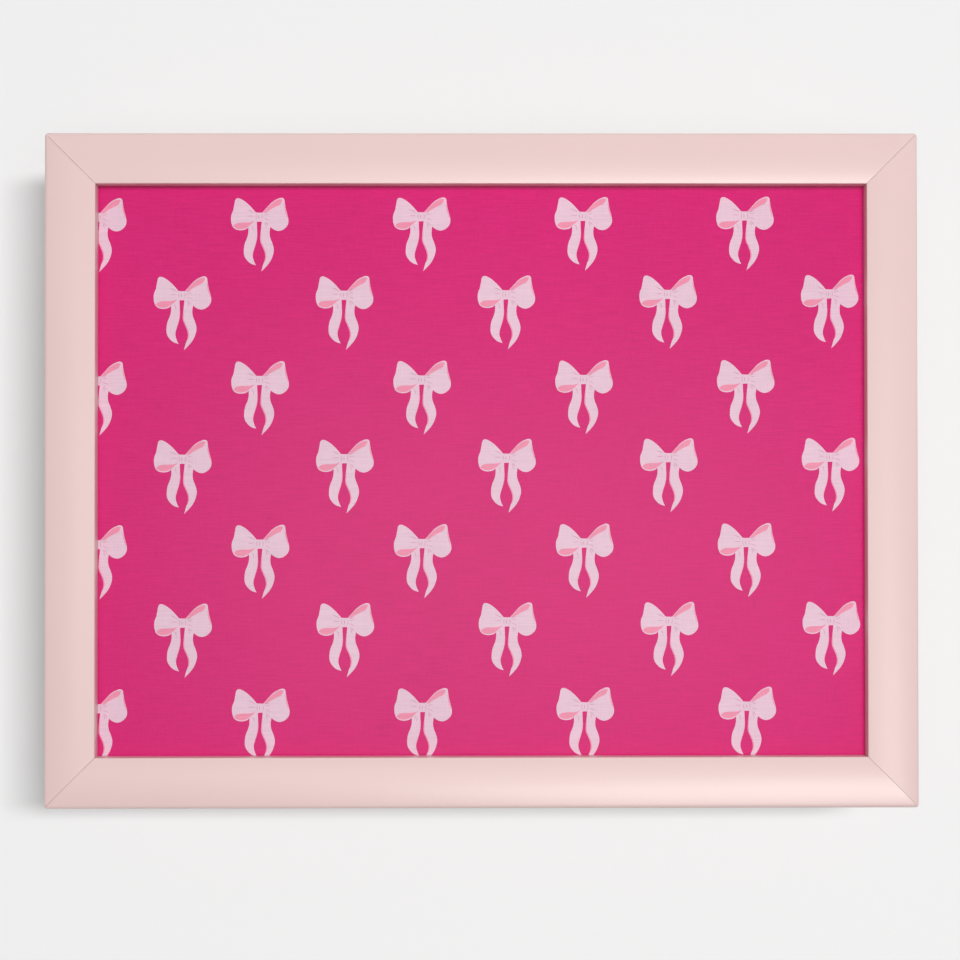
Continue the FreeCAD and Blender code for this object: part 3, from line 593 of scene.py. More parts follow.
def rail_section(bm, settings, width, height):
    """The moulding's section in the YZ plane, a point turned round the crown and outer edge."""
    crown = Vector((0, settings.crest_inset, height - settings.crown_radius))
    lip_run = width - settings.crest_inset
    lip_angle = math.acos(lip_run / settings.crown_radius)
    lip = crown.z + settings.crown_radius * math.sin(lip_angle)
    shoulder = lip - settings.lip_wall
    foot = width - settings.lip_depth
    reach = settings.crown_radius - settings.edge_round
    edge_run = settings.edge_round - settings.crest_inset
    edge = Vector((0, settings.edge_round, crown.z + math.sqrt(reach ** 2 - edge_run ** 2)))
    edge_angle = math.acos(edge_run / reach)
    first = last = bm.verts.new((0, width, lip))
    for centre, turn, steps in (
            (crown, edge_angle - lip_angle, CROWN_STEPS), (edge, math.pi - edge_angle, EDGE_STEPS)):
        arc = bmesh.ops.spin(
            bm, geom=[last], cent=centre, axis=(1, 0, 0), angle=turn, steps=steps, use_merge=False,
            use_duplicate=False)
        last = only_verts(arc["geom_last"])[0]
    sole = settings.foot_relief
    for y, z in ((0, sole), (foot, sole), (foot, shoulder), (width, shoulder)):
        last = bmesh.ops.extrude_vert_indiv(bm, verts=[last])["verts"][0]
        last.co = (0, y, z)
    bm.edges.new((last, first))


def rail_mesh(settings, rail_length, width, height):
    """One mitred rail along X, its outer face at y = 0 and its underside at z = 0."""
    half = rail_length / 2
    bm = bmesh.new()
    rail_section(bm, settings, width, height)
    bmesh.ops.translate(bm, verts=bm.verts, vec=(-half, 0, 0))
    drawn = bmesh.ops.extrude_edge_only(bm, edges=bm.edges[:])
    bmesh.ops.translate(bm, verts=only_verts(drawn["geom"]), vec=(rail_length, 0, 0))
    lip_edges = [
        edge for edge in bm.edges
        if all(abs(vertex.co.y - width) < LIP_TOLERANCE for vertex in edge.verts)
        and edge.calc_length() > width
    ]
    round_edges(bm, lip_edges, settings.lip_round, LIP_STEPS)
    close_holes(bm)
    for sense in (-1, 1):
        mitre_end = Vector((sense * (half - settings.mitre_gap / math.sqrt(2)), 0, 0))
        cut_away(bm, mitre_end, (sense, 1, 0))
        middle = Vector((sense * (half - settings.corner_round), settings.corner_round, 0))
        for step in range(1, CORNER_STEPS + 1):
            turn = math.radians(45) * step / (CORNER_STEPS + 0.5)
            away = Vector((sense * math.sin(turn), -math.cos(turn), 0))
            cut_away(bm, middle + away * settings.corner_round, away)
    bmesh.ops.recalc_face_normals(bm, faces=bm.faces)
    map_faces(bm, lambda face, point: (point.x, point.y + point.z))
    return bm


class LAPTRAY_OT_frame(bpy.types.Operator):
    """Make the four painted rails of the frame"""
    bl_idname = "laptray.frame"
    bl_label = "Frame rails"

    def execute(self, context):
        settings = context.scene.lap_tray.frame
        paint = paint_finish(settings)
        for side, turn in RAIL_TURNS.items():
            node = f"frame_rail_{side}"
            low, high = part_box(node)
            size = high - low
            along, across = (0, 1) if side in ("front", "back") else (1, 0)
            bm = rail_mesh(settings, 2 * CAD_BOX[1][along], size[across], size.z)
            outwards = Matrix.Translation((0, -CAD_BOX[1][across], 0))
            spin = Matrix.Rotation(math.radians(turn), 4, "Z")
            bm.transform(Matrix.Translation((0, 0, low.z)) @ spin @ outwards)
            rail = add_piece(f"rail_{side}", bm, [paint], "tray")
            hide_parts(node)
        return {"FINISHED"}


# Print

# Outline of the bow in millimetres from its middle; a third value marks a sharp point
BOW_OUTLINE = [
    (-0.3, 11.2), (1.3, 11.2, 1), (2.3, 12.3), (4.1, 14.3), (6.4, 16.6), (9.2, 18.2), (11.2, 18.7),
    (12.3, 18.2), (12.7, 16.4), (13.2, 13.3), (14.0, 10.2), (14.6, 7.2), (14.3, 5.2), (12.7, 3.1),
    (10.2, 1.9), (8.5, 2.0), (6.6, 2.9), (5.4, 3.9, 1), (5.0, 1.1), (5.3, -1.6), (6.4, -4.5),
    (7.1, -7.6), (6.6, -10.6), (5.1, -13.9), (3.1, -16.4), (0.7, -18.8, 1), (1.7, -15.2),
    (2.6, -12.6), (2.6, -9.6), (1.5, -6.5), (0.3, -3.5), (0.3, 0.1), (0.7, 3.6), (1.0, 6.6, 1),
    (-0.3, 6.6), (-1.5, 6.5, 1), (-1.4, 3.6), (-1.2, -0.7), (-1.8, -4.2), (-2.9, -7.6),
    (-3.6, -10.6), (-3.0, -13.4), (-2.0, -15.6, 1), (-4.6, -14.7), (-6.6, -12.9), (-7.9, -10.6),
    (-8.1, -7.6), (-7.6, -4.5), (-6.4, -1.5), (-5.8, 1.1), (-5.8, 3.8, 1), (-6.8, 2.9), (-8.8, 2.3),
    (-11.2, 2.4), (-13.2, 3.4), (-14.1, 4.9), (-14.6, 7.7), (-14.4, 10.0), (-13.5, 12.3),
    (-12.9, 15.3), (-11.9, 18.3), (-10.7, 18.5), (-9.1, 17.9), (-7.1, 16.6), (-5.1, 14.8),
    (-3.5, 13.1), (-2.0, 11.3, 1),
]
# Shapes inside the outline: the loops' insides and shaded edges, and lines gathered at the knot
BOW_FOLDS = [
    [(1.5, 11.0, 1), (3.6, 13.4), (5.8, 15.6), (8.1, 17.2), (10.2, 17.9), (11.6, 17.7, 1),
     (10.4, 15.4), (7.9, 14.1), (5.4, 12.7), (3.2, 11.5)],
    [(-13.5, 4.5, 1), (-12.2, 5.6), (-10.2, 6.1), (-7.6, 6.2), (-5.1, 6.3), (-2.5, 7.1, 1),
     (-5.6, 4.3), (-7.6, 3.2), (-9.7, 2.8), (-11.7, 3.1), (-12.9, 3.8)],
    [(12.5, 16.6, 1), (13.0, 13.5), (13.8, 10.2), (14.3, 7.7, 1), (13.3, 10.4), (12.6, 13.5)],
    [(-1.5, 3.6, 1), (-1.5, -0.7), (-2.1, -4.3), (-3.2, -7.7), (-3.9, -10.4, 1), (-3.0, -7.6),
     (-1.8, -4.2), (-1.2, -0.7)],
    [(0.8, 3.0, 1), (0.4, 0.0), (0.4, -3.5), (1.6, -6.5), (2.7, -9.6), (2.7, -12.5),
     (2.0, -14.6, 1), (3.1, -12.5), (3.1, -9.4), (2.0, -6.3), (0.8, -3.5), (0.7, 0.0)],
]
BOW_CREASES = [
    [(-2.4, 10.9, 1), (-4.4, 12.1), (-6.8, 12.9, 1), (-4.4, 11.7)],
    [(-2.4, 9.4, 1), (-4.6, 9.6), (-6.6, 9.4, 1), (-4.6, 9.3)],
    [(1.8, 10.6, 1), (3.2, 11.4), (4.6, 11.9, 1), (3.3, 11.1)],
    [(1.8, 9.8, 1), (3.4, 10.3), (5.2, 10.4, 1), (3.4, 10.0)],
    [(1.8, 8.4, 1), (3.6, 7.9), (5.4, 6.8, 1), (3.6, 7.6)],
    [(-1.6, 10.8, 1), (-1.7, 9.0), (-1.5, 7.2, 1), (-2.0, 9.0)],
    [(1.1, 10.8, 1), (1.2, 9.0), (1.0, 7.2, 1), (1.5, 9.0)],
    [(-0.5, 10.2, 1), (-0.3, 9.0), (-0.5, 7.6, 1), (-0.7, 9.0)],
    [(-4.4, 5.0, 1), (-3.4, 3.4), (-3.3, 1.4, 1), (-3.7, 3.3)],
    [(2.4, 6.4, 1), (3.2, 4.8), (3.4, 3.0, 1), (2.9, 4.7)],
    [(4.6, 4.2, 1), (4.0, 5.4), (2.6, 6.6, 1), (3.7, 5.2)],
]
INKS = ("ribbon", "rim", "fold", "crease")
RIBBON_SLOT, RIM_SLOT, FOLD_SLOT, CREASE_SLOT = range(len(INKS))
CURVE_STEPS = 5
BOW_COLUMNS, BOW_ROWS = range(-3, 4), range(-2, 5)


def drawn_face(bm, points, level, material):
    """A flat face inside a smooth outline, a closed curve through points in millimetres."""
    drawing = bpy.data.curves.new("drawing", "CURVE")
    drawing.dimensions = "2D"
    drawing.fill_mode = "NONE"
    drawing.resolution_u = CURVE_STEPS
    spline = drawing.splines.new("BEZIER")
    spline.bezier_points.add(len(points) - 1)
    spline.use_cyclic_u = True
    for knot, (x, y, *sharp) in zip(spline.bezier_points, points):
        knot.co = (x * MM, y * MM, 0)
        knot.handle_left_type = knot.handle_right_type = "VECTOR" if sharp else "AUTO"
    holder = bpy.data.objects.new("drawing", drawing)
    mesh = bpy.data.meshes.new_from_object(holder)
    before = set(bm.edges)
    bm.from_mesh(mesh)
    edges = [edge for edge in bm.edges if edge not in before]
    face = bmesh.ops.edgeloop_fill(bm, edges=edges)["faces"][0]
    face.material_index = material
    if face.normal.z < 0:
        face.normal_flip()
    bmesh.ops.translate(bm, verts=face.verts, vec=(0, 0, level))
    bpy.data.objects.remove(holder)
    bpy.data.curves.remove(drawing)
    bpy.data.meshes.remove(mesh)
    return face


def thicken(bm, faces, depth):
    """Draws flat faces up into closed solids."""
    raised = bmesh.ops.extrude_face_region(bm, geom=faces)
    bmesh.ops.translate(bm, verts=only_verts(raised["geom"]), vec=(0, 0, depth))


def bow_mesh(settings):
    """One bow of ink: a ribbon with a lighter rim, and its folds and creases on top."""
    bm = bmesh.new()
    ribbon = drawn_face(bm, BOW_OUTLINE, 0, RIBBON_SLOT)
    rim = bmesh.ops.inset_region(
        bm, faces=[ribbon], thickness=settings.rim_width, use_even_offset=True)["faces"]
    for face in rim:
        face.material_index = RIM_SLOT
    thicken(bm, [ribbon, *rim], settings.ink)
    for slot, shapes in ((FOLD_SLOT, BOW_FOLDS), (CREASE_SLOT, BOW_CREASES)):
        for shape in shapes:
            face = drawn_face(bm, shape, settings.ink / 2, slot)
            thicken(bm, [face], settings.ink)
    bmesh.ops.recalc_face_normals(bm, faces=bm.faces)
    return bm


def bow_places(settings):
    """Middles of the bows on the sheet: rows with a second row hung between each two."""
    first = Vector((settings.first_x, settings.first_y, 0))
    between = Vector((settings.drop_x, -settings.drop_y, 0))
    for column in BOW_COLUMNS:
        for row in BOW_ROWS:
            step = Vector((column * settings.column_step, -row * settings.row_step, 0))
            yield first + step
            yield first + step + between


class LAPTRAY_OT_print(bpy.types.Operator):
    """Make the printed sheet and its bows"""
    bl_idname = "laptray.print"
    bl_label = "Bow print"

    def execute(self, context):
        settings = context.scene.lap_tray.print
        repaint(["print_sheet"], print_finish("magenta ground", settings.ground, settings))
        inks = [print_finish(f"{ink} ink", getattr(settings, ink), settings) for ink in INKS]
        sheet_top = Vector((0, 0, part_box("print_sheet")[1].z))
        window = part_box("frame_rail_right")[0].x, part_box("frame_rail_back")[0].y
        bm = bow_mesh(settings)
        pattern = everything(bm)
        turn = Matrix.Rotation(settings.tilt, 4, "Z")
        for place in bow_places(settings):
            middle = turn @ place
            if any(abs(middle[axis]) > window[axis] + settings.bow_reach for axis in (0, 1)):
                continue
            copied = only_verts(bmesh.ops.duplicate(bm, geom=pattern)["geom"])
            placing = Matrix.Translation(middle + sheet_top) @ turn
            bmesh.ops.transform(bm, verts=copied, matrix=placing)
        bmesh.ops.delete(bm, geom=only_verts(pattern))
        for sense in (-1, 1):
            cut_away(bm, (sense * window[0], 0, 0), (sense, 0, 0), fill=False)
            cut_away(bm, (0, sense * window[1], 0), (0, sense, 0), fill=False)
        close_holes(bm)
        add_piece("bow_print", bm, inks, "tray")
        return {"FINISHED"}


# Cushion

FILL_FRAMES = 20
COVER_CORNER_STEPS, COVER_RIM_STEPS = 8, 3
COVER_NODES = (
    "cover_top_panel", "cover_base_panel", "cover_wall", "zip_facing_upper", "zip_facing_lower",
    "bead_liner", "bead_fill")
COVER_SHARP = 50.0
# How tightly the seams are held while the cover fills, and how far from them, in cloth grids
SEAM_HOLD, SEAM_REACH = 0.6, 0.6
CLOTH = {"quality": 6, "use_pressure": True, "shrink_min": -0.02, "bending_stiffness": 0.3}
# Share of the half height above which the cover is pressed flat
PRESSED = 0.8
GATHER_SPREAD = 11 * MM
GATHERS_IN_A_METRE = 75
# Keeps the two seams' gathers unlike each other
SEAM_SHIFT = 5.0
# Round the zip the wall fades from its own shape to flat, over these distances
FADE_ALONG, FADE_ACROSS = (18 * MM, 4 * MM), (15 * MM, 9 * MM)
MOUTH_ROOM = 0.4 * MM
MOUTH_ROUND, MOUTH_STEPS = 2 * MM, 4


def bake_modifiers(piece):
    """Applies the piece's modifiers."""
    graph = bpy.context.evaluated_depsgraph_get()
    mesh = bpy.data.meshes.new_from_object(piece.evaluated_get(graph))
    old = piece.data
    piece.modifiers.clear()
    piece.data = mesh
    bpy.data.meshes.remove(old)


def smooth_step(value, start, end):
    """Zero at start, one at end, and a smooth rise between."""
    share = min(1.0, max(0.0, (value - start) / (end - start)))
    return share * share * (3 - 2 * share)


def cushion_space():
    """Lowest and highest corner of the cushion's cover."""
    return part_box("cover_base_panel")[0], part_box("cover_top_panel")[1]


def seam_levels():
    """Heights of the seams along the wall's lower and upper edge."""
    low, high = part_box("cover_wall")
    return low.z, high.z


def cushion_blank(settings):
    """The sewn cover before filling: a rounded block, a little smaller than its space."""
    low, high = cushion_space()
    size = high - low - Vector((2, 2, 2)) * settings.slack
    bm = bmesh.new()
    block(bm, size, (low + high) / 2)

    def rise(edge):
        return abs(edge.verts[0].co.z - edge.verts[1].co.z)

    uprights = [edge for edge in bm.edges if rise(edge) > size.z / 2]
    round_edges(bm, uprights, settings.corner, COVER_CORNER_STEPS)
    rims = [edge for edge in bm.edges if rise(edge) < size.z / 2]
    round_edges(bm, rims, settings.rim, COVER_RIM_STEPS)
    blank = add_object("cushion_cover", bm)
    remesh = blank.modifiers.new("grid", "REMESH")
    remesh.mode = "VOXEL"
    remesh.voxel_size = settings.voxel
    bake_modifiers(blank)
    return blank


def fill_with_beads(blank, settings):
    """Fills the cover by cloth simulation, and holds each point within the most it may swell."""
    seams = seam_levels()
    held = blank.vertex_groups.new(name="seams")
    for vertex in blank.data.vertices:
        if min(abs(vertex.co.z - seam) for seam in seams) < settings.voxel * SEAM_REACH:
            held.add([vertex.index], SEAM_HOLD, "REPLACE")
    start = [vertex.co.copy() for vertex in blank.data.vertices]
    cloth = blank.modifiers.new("beads", "CLOTH").settings
    for name, value in CLOTH.items():
        setattr(cloth, name, value)
    cloth.uniform_pressure_force = settings.pressure
    cloth.vertex_group_mass = held.name
    cloth.effector_weights.gravity = 0
    scene = bpy.context.scene
    for step in range(1, FILL_FRAMES + 1):
        scene.frame_set(step)
    bake_modifiers(blank)
    scene.frame_set(1)
    for vertex, origin in zip(blank.data.vertices, start):
        move = vertex.co - origin
        if move.length > settings.swell:
            vertex.co = origin + move.normalized() * settings.swell


def settle(piece):
    """Flattens the filled cover on the lap and under the board, and keeps it in its space."""
    low, high = cushion_space()
    middle = (low.z + high.z) / 2
    half = (high.z - low.z) / 2
    room = 1 - PRESSED
    for vertex in piece.data.vertices:
        share = (vertex.co.z - middle) / half
        if abs(share) > PRESSED:
            pressed = PRESSED + room * math.tanh((abs(share) - PRESSED) / room)
            vertex.co.z = middle + half * math.copysign(pressed, share)


def crease_seams(piece, settings):
    """Adds edges along the seam lines, where the cloth turns sharply."""
    snap = settings.seam_width / 20
    bm = bmesh.new()
    bm.from_mesh(piece.data)
    for seam in seam_levels():
        for offset in (-settings.seam_width, 0, settings.seam_width):
            bmesh.ops.bisect_plane(
                bm, geom=everything(bm), dist=snap, plane_co=(0, 0, seam + offset),
                plane_no=(0, 0, 1))
    bm.to_mesh(piece.data)
    bm.free()


def gather_seams(piece, settings):
    """Draws the seam lines in, with the small gathers that cross them."""
    mesh = piece.data
    seams = seam_levels()
    normals = [vertex.normal.copy() for vertex in mesh.vertices]
    for vertex, normal in zip(mesh.vertices, normals):
        flat = Vector((normal.x, normal.y, 0))
        for number, seam in enumerate(seams):
            off = vertex.co.z - seam
            groove = max(0.0, 1 - abs(off) / settings.seam_width) * settings.seam_depth
            across = vertex.co.xy * GATHERS_IN_A_METRE
            wave = noise.noise(Vector((*across, number * SEAM_SHIFT)))
            gather = math.exp(-(off / GATHER_SPREAD) ** 2) * wave * settings.pucker
            vertex.co -= flat * (groove + gather)


def flatten_zip_wall(piece):
    """Lays the back wall flat round the zip."""
    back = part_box("zip_facing_upper")[1].y
    level = (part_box("zip_tape_upper")[0].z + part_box("zip_tape_lower")[1].z) / 2
    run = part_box("zip_facing_upper")[1].x
    for vertex in piece.data.vertices:
        if vertex.co.y < back / 2:
            continue
        along = smooth_step(abs(vertex.co.x) - run, *FADE_ALONG)
        across = smooth_step(abs(vertex.co.z - level), *FADE_ACROSS)
        vertex.co.y += (back - vertex.co.y) * along * across


def open_zip_mouth(piece):
    """Cuts the mouth beside the teeth, behind which the slider runs."""
    upper, lower, slider = map(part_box, ("zip_facing_upper", "zip_facing_lower", "zip_slider"))
    low = Vector((upper[0].x, slider[0].y - MOUTH_ROOM, lower[1].z))
    high = Vector((upper[1].x, slider[1].y + MOUTH_ROOM, upper[0].z))
    bm = bmesh.new()
    block(bm, high - low, (low + high) / 2)
    ends = [
        edge for edge in bm.edges if abs(edge.verts[0].co.y - edge.verts[1].co.y) > MOUTH_ROOM]
    round_edges(bm, ends, MOUTH_ROUND, MOUTH_STEPS)
    mouth = add_object("mouth", bm)
    cut = piece.modifiers.new("mouth", "BOOLEAN")
    cut.operation = "DIFFERENCE"
    cut.solver = "EXACT"
    cut.object = mouth
    bake_modifiers(piece)
    mesh = mouth.data
    bpy.data.objects.remove(mouth)
    bpy.data.meshes.remove(mesh)


def map_cover(piece):
    """Lays the weave flat on the top and base, and round the wall."""
    lower, upper = seam_levels()

    def place(face, point):
        if not lower < face.calc_center_median().z < upper:
            return point.x, point.y
        return (point.x if abs(face.normal.y) > abs(face.normal.x) else point.y), point.z

    bm = bmesh.new()
    bm.from_mesh(piece.data)
    map_faces(bm, place)
    bm.to_mesh(piece.data)
    bm.free()


class LAPTRAY_OT_cushion(bpy.types.Operator):
    """Make the bead-filled cushion"""
    bl_idname = "laptray.cushion"
    bl_label = "Cushion"

    def execute(self, context):
        settings = context.scene.lap_tray.cushion
        cover = cushion_blank(settings)
        fill_with_beads(cover, settings)
        settle(cover)
        fine = cover.modifiers.new("fine", "SUBSURF")
        fine.levels = fine.render_levels = 1
        bake_modifiers(cover)
        crease_seams(cover, settings)
        gather_seams(cover, settings)
        flatten_zip_wall(cover)
        open_zip_mouth(cover)
        map_cover(cover)
        cloth = cloth_finish(
            "blush cloth", settings.fabric, settings.threads, depth=0.12 * MM, sheen=0.25)
        cover.data.materials.clear()
        dress(cover, [cloth], "cushion", COVER_SHARP)
        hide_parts(*COVER_NODES)
        return {"FINISHED"}


# Zip, underside and strips

TAPE_ROUND = 0.2 * MM
THREAD = {"threads": 2400, "depth": 0.05 * MM}
WEB = {"threads": 1400, "depth": 0.08 * MM}
MOULDED = {"reach": 0.12, "relief": 0.004}
EDGE_SEGMENTS = 2
WEB_SLOT, FIELD_SLOT = 0, 1
HOOK_SIDES = 6
HEAD_SHARE = 0.45
# The two hooks that repeat along a strip, in steps from its corner
HOOK_PLACES = (0.25, 0.5), (0.75, 1.5)
# A face is flat if one axis takes up this much of its normal
FLAT = 0.99


def ring(low, high):
    """Corners of a rectangle in order, from its lowest and highest corner."""
    return [(low[0], low[1]), (high[0], low[1]), (high[0], high[1]), (low[0], high[1])]


def stitch_line(bm, start, end, outward, settings):
    """Lays stitches end to end along a straight line, each a small bead of thread."""
    run = end - start
    along = run.normalized()
    number = max(1, round(run.length / settings.stitch_step))
    turn = Matrix((along, outward.cross(along), outward)).transposed().to_4x4()
    thickness = settings.thread_radius
    size = Matrix.Diagonal((settings.stitch_length / 2, thickness, thickness, 1))
    for index in range(number):
        middle = Matrix.Translation(start + run * ((index + 0.5) / number))
        bmesh.ops.create_icosphere(bm, subdivisions=1, radius=1, matrix=middle @ turn @ size)


def stitch_round(bm, corners, outward, settings):
    """Lays stitches round a closed outline."""
    for start, end in zip(corners, corners[1:] + corners[:1]):
        stitch_line(bm, start, end, outward, settings)


class LAPTRAY_OT_zip(bpy.types.Operator):
    """Make the zip's tapes and finish its teeth, slider, pull and stops"""
    bl_idname = "laptray.zip"
    bl_label = "Zip"

    def execute(self, context):
        settings = context.scene.lap_tray.fittings
        sewing = context.scene.lap_tray.cushion
        metal = plain_finish(
            "blush enamel", settings.zip_metal, 0.34, grain=300.0, reach=0.16, relief=0.004)
        moulded = plain_finish("moulded teeth", settings.zip_teeth, 0.35, grain=200.0, **MOULDED)
        repaint(("zip_slider", "zip_pull", "zip_stops_closed_end", "zip_stop_open_end"), metal)
        repaint(("zip_teeth_upper", "zip_teeth_lower"), moulded)
        woven = cloth_finish("woven tape", settings.zip_tape, threads=1600, depth=0.1 * MM)
        for side in ("upper", "lower"):
            node = f"zip_tape_{side}"
            low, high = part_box(node)
            bm = bmesh.new()
            block(bm, high - low, (low + high) / 2)
            round_edges(bm, bm.edges[:], TAPE_ROUND, EDGE_SEGMENTS)
            map_flat(bm, FROM_BEHIND)
            tape = add_piece(f"tape_{side}", bm, [woven], "cushion")
            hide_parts(node)
        upper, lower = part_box("zip_facing_upper"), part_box("zip_facing_lower")
        inset = sewing.stitch_inset
        end = upper[1].x + inset
        outline = ring((-end, lower[1].z - inset), (end, upper[0].z + inset))
        corners = [Vector((x, upper[1].y, z)) for x, z in outline]
        bm = bmesh.new()
        stitch_round(bm, corners, Vector((0, 1, 0)), sewing)
        map_flat(bm, FROM_BEHIND)
        thread = cloth_finish("zip thread", sewing.thread, **THREAD)
        add_piece("zip_stitches", bm, [thread], "cushion")
        return {"FINISHED"}


class LAPTRAY_OT_underside(bpy.types.Operator):
    """Finish the board, its paper and the fixings"""
    bl_idname = "laptray.underside"
    bl_label = "Board and fixings"

    def execute(self, context):
        settings = context.scene.lap_tray.fittings
        board = plain_finish(
            "fibreboard", settings.board, 0.85, grain=90.0, reach=0.4, relief=0.05)
        paper = plain_finish(
            "backing paper", settings.paper, 0.9, grain=60.0, reach=0.12, relief=0.02)
        steel = plain_finish(
            "bright steel", settings.steel, 0.35, grain=250.0, reach=0.24, relief=0.003,
            metallic=1.0)
        repaint(["tray_board"], board)
        repaint(["backing_paper"], paper)
        repaint(["mitre_v_nails", "board_points"], steel)
        return {"FINISHED"}


def slab(bm, low, high, rounding, material, edging):
    """Adds a block with softened edges, which may differ in finish from its flat faces."""
    before = set(bm.faces)
    verts = set(block(bm, high - low, (low + high) / 2))
    edges = [edge for edge in bm.edges if edge.verts[0] in verts]
    round_edges(bm, edges, rounding, EDGE_SEGMENTS)
    bm.normal_update()
    for face in bm.faces:
        if face not in before:
            flat = max(abs(part) for part in face.normal) > FLAT
            face.material_index = material if flat else edging


def strip_layers(node, settings, facing):
    """Corners of a strip's woven web and of the narrower field of hooks or loops on it."""
    low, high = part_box(node)
    web = [low.copy(), high.copy()]
    field = [low.copy(), high.copy()]
    if facing > 0:
        web[1].z = low.z + settings.web
    else:
        web[0].z = high.z - settings.web
    across = 1 if high.x - low.x > high.y - low.y else 0
    field[0][across] += settings.selvedge
    field[1][across] -= settings.selvedge
    return web, field


def hook_field(low, high, settings):
    """Rows of mushroom hooks hung from the web, each set half a step along from the last."""
    bm = bmesh.new()
    pitch = settings.hook_pitch
    stem = high.z - low.z
    head = stem * HEAD_SHARE
    columns, rows = (int((high[axis] - low[axis]) / pitch) for axis in (0, 1))
    for across, along in HOOK_PLACES:
        foot = Vector((low.x + across * pitch, low.y + along * pitch, low.z))
        for wide, closed, depth, middle in (
                (settings.hook_head, True, head, head / 2),
                (settings.hook_stem, False, stem - head, (head + stem) / 2)):
            bmesh.ops.create_cone(
                bm, cap_ends=closed, segments=HOOK_SIDES, radius1=wide, depth=depth,
                radius2=settings.hook_stem,
                matrix=Matrix.Translation(foot + Vector((0, 0, middle))))
    for step, number in (((pitch, 0, 0), columns), ((0, 2 * pitch, 0), rows // 2)):
        bmesh.ops.spin(
            bm, geom=everything(bm), cent=(0, 0, 0), axis=(0, 0, 1), dvec=step, angle=0,
            steps=number - 1, use_merge=False, use_duplicate=True)
    for face in bm.faces:
        face.material_index = FIELD_SLOT
    return bm


class LAPTRAY_OT_strips(bpy.types.Operator):
    """Make the hook and loop strips and their stitches"""
    bl_idname = "laptray.strips"
    bl_label = "Hook and loop strips"

    def execute(self, context):
        settings = context.scene.lap_tray.fittings
        sewing = context.scene.lap_tray.cushion
        hook_web = cloth_finish("hook web", settings.hooks, **WEB)
        hook = plain_finish("hooks", settings.hooks, 0.4, grain=200.0, **MOULDED)
        loop_web = cloth_finish("loop web", settings.loops, **WEB)
        loop = pile_finish("loop pile", settings.loops, scale=900.0, relief=0.35 * MM)
        thread = cloth_finish("strip thread", sewing.thread, **THREAD)
        rounding = settings.strip_round
        inset = Vector((settings.selvedge, settings.selvedge)) / 2
        stitches = bmesh.new()
        for side in SIDES:
            web, field = strip_layers(f"hook_strip_{side}", settings, facing=-1)
            bm = hook_field(field[0], Vector((*field[1].xy, web[0].z)), settings)
            slab(bm, *web, rounding, WEB_SLOT, WEB_SLOT)
            map_flat(bm, FROM_ABOVE)
            strip = add_piece(f"hooks_{side}", bm, [hook_web, hook], "tray")
            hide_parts(f"hook_strip_{side}")
            web, field = strip_layers(f"loop_strip_{side}", settings, facing=1)
            bm = bmesh.new()
            slab(bm, *web, rounding, FIELD_SLOT, FIELD_SLOT)
            slab(bm, *field, rounding * 2, FIELD_SLOT, WEB_SLOT)
            map_flat(bm, FROM_ABOVE)
            strip = add_piece(f"loops_{side}", bm, [loop_web, loop], "cushion")
            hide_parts(f"loop_strip_{side}")
            low, high = web
            outline = ring(low.xy + inset, high.xy - inset)
            corners = [Vector((x, y, high.z)) for x, y in outline]
            stitch_round(stitches, corners, Vector((0, 0, 1)), sewing)
        map_flat(stitches, FROM_ABOVE)
        add_piece("strip_stitches", stitches, [thread], "cushion")
        return {"FINISHED"}


# Stage

FLOOR_HALF = 6
SENSOR_WIDTH = 36
# Each lamp's place, the point it is aimed at, and its two sides, in metres
KEY_LAMP = (0.32, 0.5, 2.2), (0, 0, 0.06), (0.5, 0.5)
CAST_LAMP = (7, 3.2, 16), (7, 3.2, 0), (6, 2.4)
OVERHEAD_LAMP = (0.08, -0.1, 1.31), (0.08, -0.1, 0), (0.9, 0.5)
FRONT_LAMP = (0.41, -0.6, 1.3), (0.25, -0.16, 0.06), (0.86, 0.66)
LIP_LAMP = (0.06, -0.42, 1.3), (0.06, 0.1, 0.06), (0.8, 0.3)


def lamp(name, placing, watts):
    """A soft rectangular lamp aimed at a point."""
    place, target, size = placing
    data = bpy.data.lights.new(name, "AREA")
    data.shape = "RECTANGLE"
    data.size, data.size_y = size
    data.energy = watts
    holder = bpy.data.objects.new(name, data)
    holder.location = place
    aim = Vector(target) - Vector(place)
    holder.rotation_euler = aim.to_track_quat("-Z", "Y").to_euler()
    holder.visible_camera = False
    bpy.context.scene.collection.objects.link(holder)
    return holder


def aim_light(holder, things, state):
    """Has a lamp light these things only, or all but these."""
    lit = bpy.data.collections.new(f"{holder.name} lights")
    for thing in things:
        lit.objects.link(thing)
    for member in lit.collection_objects:
        member.light_linking.link_state = state
    holder.light_linking.receiver_collection = lit


def light_tray(settings, floor, objects):
    """Main lamp, the floor's own lamp, and lamps whose sheen lies on the print and the rails."""
    key = lamp("key", KEY_LAMP, settings.key_power)
    aim_light(key, [floor], "EXCLUDE")
    cast = lamp("cast", CAST_LAMP, settings.cast_power)
    aim_light(cast, [floor], "INCLUDE")
    for plain in (key, cast):
        plain.visible_glossy = False
    lamp("overhead", OVERHEAD_LAMP, settings.overhead_power)
    dull = [objects[name] for name in ("bow_print", "rail_left", "rail_right")]
    front = lamp("front", FRONT_LAMP, settings.front_power)
    aim_light(front, [frame["nodes"]["print_sheet"], *dull], "EXCLUDE")
    side = lamp("side", FRONT_LAMP, settings.side_power)
    aim_light(side, [objects["rail_right"]], "INCLUDE")
    lip = lamp("lip", LIP_LAMP, settings.lip_power)
    aim_light(lip, [objects["rail_back"]], "INCLUDE")
    for sheen in (front, side, lip):
        sheen.visible_diffuse = False


